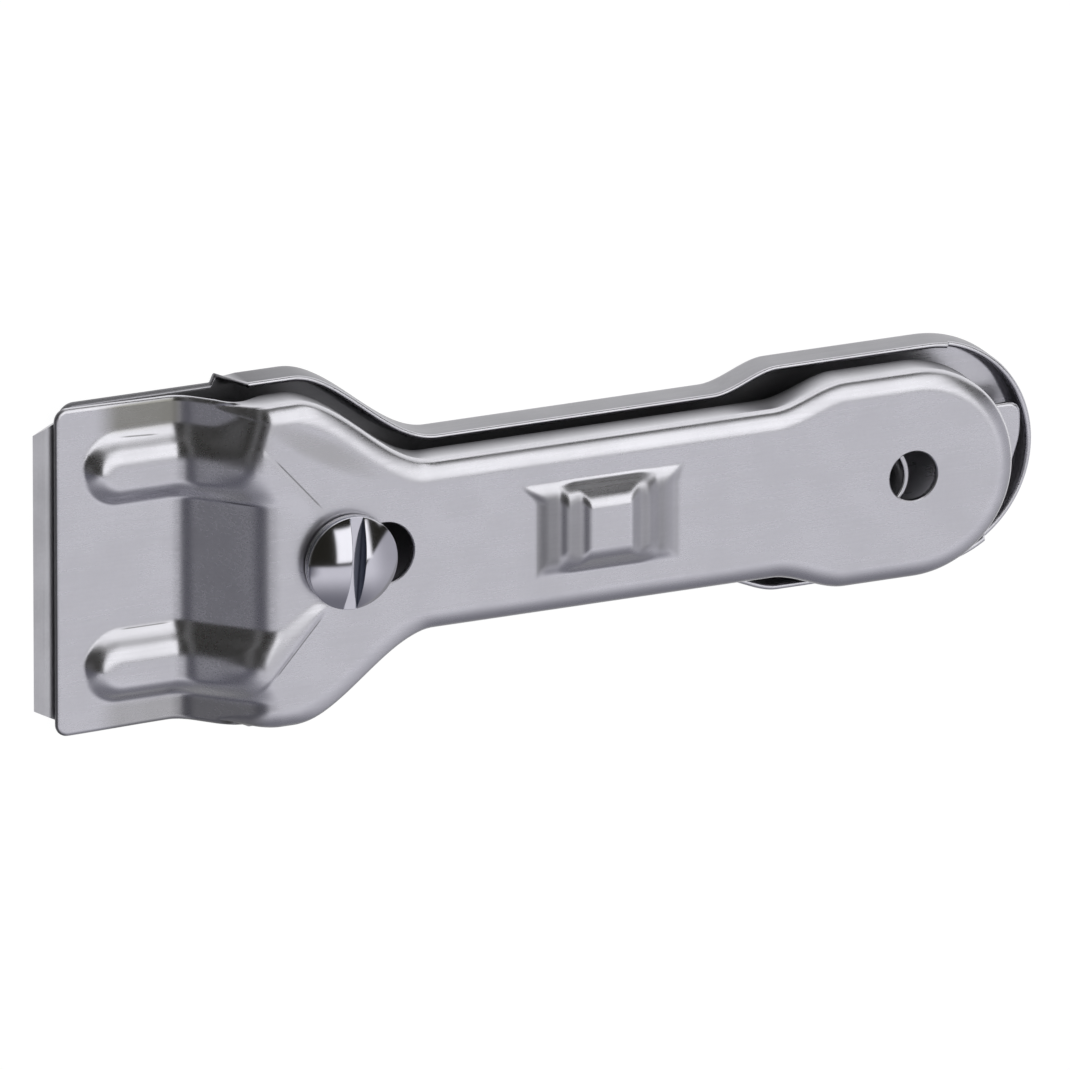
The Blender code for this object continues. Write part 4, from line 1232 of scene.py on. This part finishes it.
# Lights of the studio, as edges in a direction's X, Y and Z: dark at the first value and lit at the second
WINDOW = (("x", -0.16, -0.09), ("x", 0.70, 0.62), ("y", -0.20, -0.15), ("y", 0.60, 0.52), ("z", 0.2, 0.4))
SKYLINE = (("y", 0.26, 0.36), ("x", 0.0, 0.15), ("z", 0.43, 0.37))
CORNER = (("y", 0.62, 0.72), ("x", 0.1, -0.1), ("z", 0.45, 0.38), ("z", 0.15, 0.24))
BELT = (("z", 0.34, 0.54), ("z", 0.75, 0.52), ("x", -0.05, -0.25), ("y", -0.24, -0.14))
BELOW = (("z", -0.02, -0.1),)
BELT_SHARE = 0.22
LOW_Y = (-0.22, -0.30)
LOW_SLANT = 0.4
LOW_SLANT_X = (0.45, 1.0)
LOW_LEVEL = 0.10
LOW_RISE = 0.70
LOW_RISE_X = (-0.70, -0.40)
LOW_SHIFT = 0.1
LOW_SHIFT_Y = (-0.42, -0.60)
LOW_TIP = 0.33
LOW_TIP_X = (-0.80, -0.94)
LOW_BACK_LOSS = 0.4
LOW_BACK_X = (0.6, 0.95)
LOW_DOWN_LOSS = 0.74
LOW_DOWN_Y = (-0.42, -0.95)
FAR_Y = (0.82, 0.91)
FAR_X = (-0.45, -0.15)
FAR_LEVEL = 0.12
SIDE_LIGHT = grey(0.8)
FAR_LIGHT = grey(1.2)
WINDOW_LIGHT = grey(1.35)
DARK = grey(0.02, -0.25)
LOW_DARK = (0.0, 0.0, 0.025, 1.0)
LOW_LIGHT = grey(1.0, 0.035)


def patch(axes, edges):
    """1 in the directions that are inside all the edges and 0 in the others, with soft steps between."""
    lit = 1.0
    for axis, dark_at, lit_at in edges:
        lit = lit * axes[axis].smooth(dark_at, lit_at)
    return lit


def studio_world():
    """Light by direction on a dark ground, and plain white for the camera.

    The low side is the near one, which slants away at the handle's end and is dimmer at both ends and far
    down. The window is overhead, and the far side, a skyline, a corner and a belt are its weaker fellows.
    """
    world = bpy.data.worlds.new("studio")
    bpy.context.scene.world = world
    world.use_nodes = True
    tree = world.node_tree
    tree.nodes.clear()
    root = Signal(tree)
    x, y, z = root.node("ShaderNodeTexCoord", output="Generated").split()
    axes = {"x": x, "y": y, "z": z}

    low_side = (y - LOW_SLANT * x.smooth(*LOW_SLANT_X)).smooth(*LOW_Y)
    low_x = x + LOW_SHIFT * y.smooth(*LOW_SHIFT_Y)
    low_level = LOW_LEVEL + LOW_RISE * low_x.smooth(*LOW_RISE_X) + LOW_TIP * x.smooth(*LOW_TIP_X)
    low_level = low_level * (1.0 - LOW_BACK_LOSS * x.smooth(*LOW_BACK_X))
    low_level = low_level * (1.0 - LOW_DOWN_LOSS * y.smooth(*LOW_DOWN_Y))
    far_side = y.smooth(*FAR_Y) * (FAR_LEVEL + (1.0 - FAR_LEVEL) * x.smooth(*FAR_X))
    sides = patch(axes, SKYLINE) + patch(axes, CORNER) + patch(axes, BELT) * BELT_SHARE
    light = low_side.mix(DARK, low_level.mix(LOW_DARK, LOW_LIGHT))
    light = sides.mix(light, SIDE_LIGHT)
    light = far_side.mix(light, FAR_LIGHT)
    light = patch(axes, WINDOW).mix(light, WINDOW_LIGHT)
    light = patch(axes, BELOW).mix(light, SIDE_LIGHT)
    studio = root.node("ShaderNodeBackground", None, {"Color": light, "Strength": 1.0})
    white = root.node("ShaderNodeBackground", None, {"Color": grey(1.0), "Strength": 1.0})
    seen = root.node("ShaderNodeLightPath", output="Is Camera Ray")
    both = root.node("ShaderNodeMixShader", None, {0: seen, 1: studio, 2: white})
    root.node("ShaderNodeOutputWorld", None, {"Surface": both})


# The paper: how its painted glow falls off in metal towards the near side and the front, and a painted
# shadow under the tool
PAPER_NEAR_Y = (-35.0 * MM, -14.0 * MM)
PAPER_NEAR_LEVEL = 0.3
PAPER_FRONT_X = (-110.0 * MM, -75.0 * MM)
PAPER_FRONT_LEVEL = 0.08
UNDER_X = (56.0 * MM, 60.0 * MM)
UNDER_Y = (6.0 * MM, 10.0 * MM)
TOUCHING = (1.0 * MM, 0.5 * MM)
PAPER_GLOW = 1.08
PAPER_SHARE = 0.9
FLOOR_HALF = 2.0
FLOOR_POINTS = 9
FLOOR_GAP = 0.05 * MM


def floor_paint():
    """White paper: plain white where it is seen, with a share that takes the tool's shadow.

    Metal sees its glow fall off as painted shade towards the near side and the front, and a painted shadow
    under the tool, but not where it touches, and from below it is clear.
    """
    material = bpy.data.materials.new("white_paper")
    material.use_nodes = True
    tree = material.node_tree
    tree.nodes.clear()
    root = Signal(tree)
    rays = root.node("ShaderNodeLightPath", output="Is Camera Ray")
    glossy = root.node("ShaderNodeLightPath", output="Is Glossy Ray")
    clear = root.node("ShaderNodeLightPath", output="Is Transmission Ray")
    x, y, _ = root.node("ShaderNodeTexCoord", output="Object").split()
    near = PAPER_NEAR_LEVEL + (1.0 - PAPER_NEAR_LEVEL) * y.smooth(*PAPER_NEAR_Y)
    front = PAPER_FRONT_LEVEL + (1.0 - PAPER_FRONT_LEVEL) * x.smooth(*PAPER_FRONT_X)
    along = x.math("ABSOLUTE", x).smooth(*UNDER_X)
    across = y.math("ABSOLUTE", y).smooth(*UNDER_Y)
    touching = root.node("ShaderNodeLightPath", output="Ray Length").smooth(*TOUCHING)
    lit = along.math("MAXIMUM", along, across)
    lit = lit.math("MAXIMUM", lit, touching)
    level = ((glossy * (near * front - 1.0) + 1.0) * lit).mix(grey(0.0), grey(1.0))
    paper = root.node("ShaderNodeBsdfDiffuse", None, {"Color": grey(0.9)})
    glow = root.node("ShaderNodeEmission", None, {"Color": level, "Strength": PAPER_GLOW})
    seen = rays + glossy + clear
    seen = seen.math("MINIMUM", seen, 1.0) * PAPER_SHARE
    both = root.node("ShaderNodeMixShader", None, {0: seen, 1: paper, 2: glow})
    from_below = root.node("ShaderNodeNewGeometry", output="Backfacing")
    nothing = root.node("ShaderNodeBsdfTransparent")
    both = root.node("ShaderNodeMixShader", None, {0: from_below, 1: both, 2: nothing})
    root.node("ShaderNodeOutputMaterial", None, {"Surface": both})
    return material


def lay_floor():
    """A wide flat sheet just under the tool."""
    side = np.linspace(-FLOOR_HALF, FLOOR_HALF, FLOOR_POINTS)
    x, y = np.meshgrid(side, side, indexing="ij")
    points = np.stack([x, y, x * 0.0 - FLOOR_GAP], axis=2)
    floor = piece_from("floor", points, grid_faces(*x.shape, False, False))
    floor.data.materials.append(floor_paint())


def place_camera():
    """A long lens far off along the photograph's line of sight."""
    turn, rise = VIEW_TURN, VIEW_RISE
    right = Vector((math.cos(turn), 0.0, math.sin(turn)))
    back = Vector((-math.sin(turn) * math.cos(rise), math.sin(rise), math.cos(turn) * math.cos(rise)))
    up = back.cross(right)
    data = bpy.data.cameras.new("camera")
    data.sensor_width = SENSOR
    data.lens = LENS
    data.clip_end = CLIP_END
    camera = bpy.data.objects.new("camera", data)
    bpy.context.collection.objects.link(camera)
    spot = VIEW_TARGET + back * (VIEW_WIDTH * LENS / SENSOR)
    turned_axes = Matrix((right, up, back)).transposed().to_4x4()
    camera.matrix_world = Matrix.Translation(spot) @ turned_axes
    bpy.context.scene.camera = camera


def dress(piece, node, body, material):
    """Lets a piece stand for its node: it rides on the node's body and takes the finish of its slot."""
    piece.data.materials.clear()
    piece.data.materials.append(material)
    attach(piece, body)
    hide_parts(node)


place_camera()
studio_world()
lay_floor()
bpy.context.scene.view_settings.view_transform = "Standard"

sheet_finish = shell_steel()
fitting_finish = fitting_steel()
dress(rear_shell(), "rear_shell", "base", sheet_finish)
dress(sliding_cover(), "sliding_cover", "cover", sheet_finish)
dress(scraper_blade(), "scraper_blade", "base", blade_steel())
for side in ("left", "right"):
    stud = blade_stud(f"blade_stud_{side}", f"stud_{side}")
    dress(stud, f"blade_stud_{side}", "base", fitting_finish)
dress(threaded_post(), "threaded_post", "base", fitting_finish)
dress(hang_eyelet(), "hang_eyelet", "base", fitting_finish)
dress(screw_washer(), "screw_washer", "washer", fitting_finish)
dress(clamp_screw(), "clamp_screw", "screw", screw_chrome())
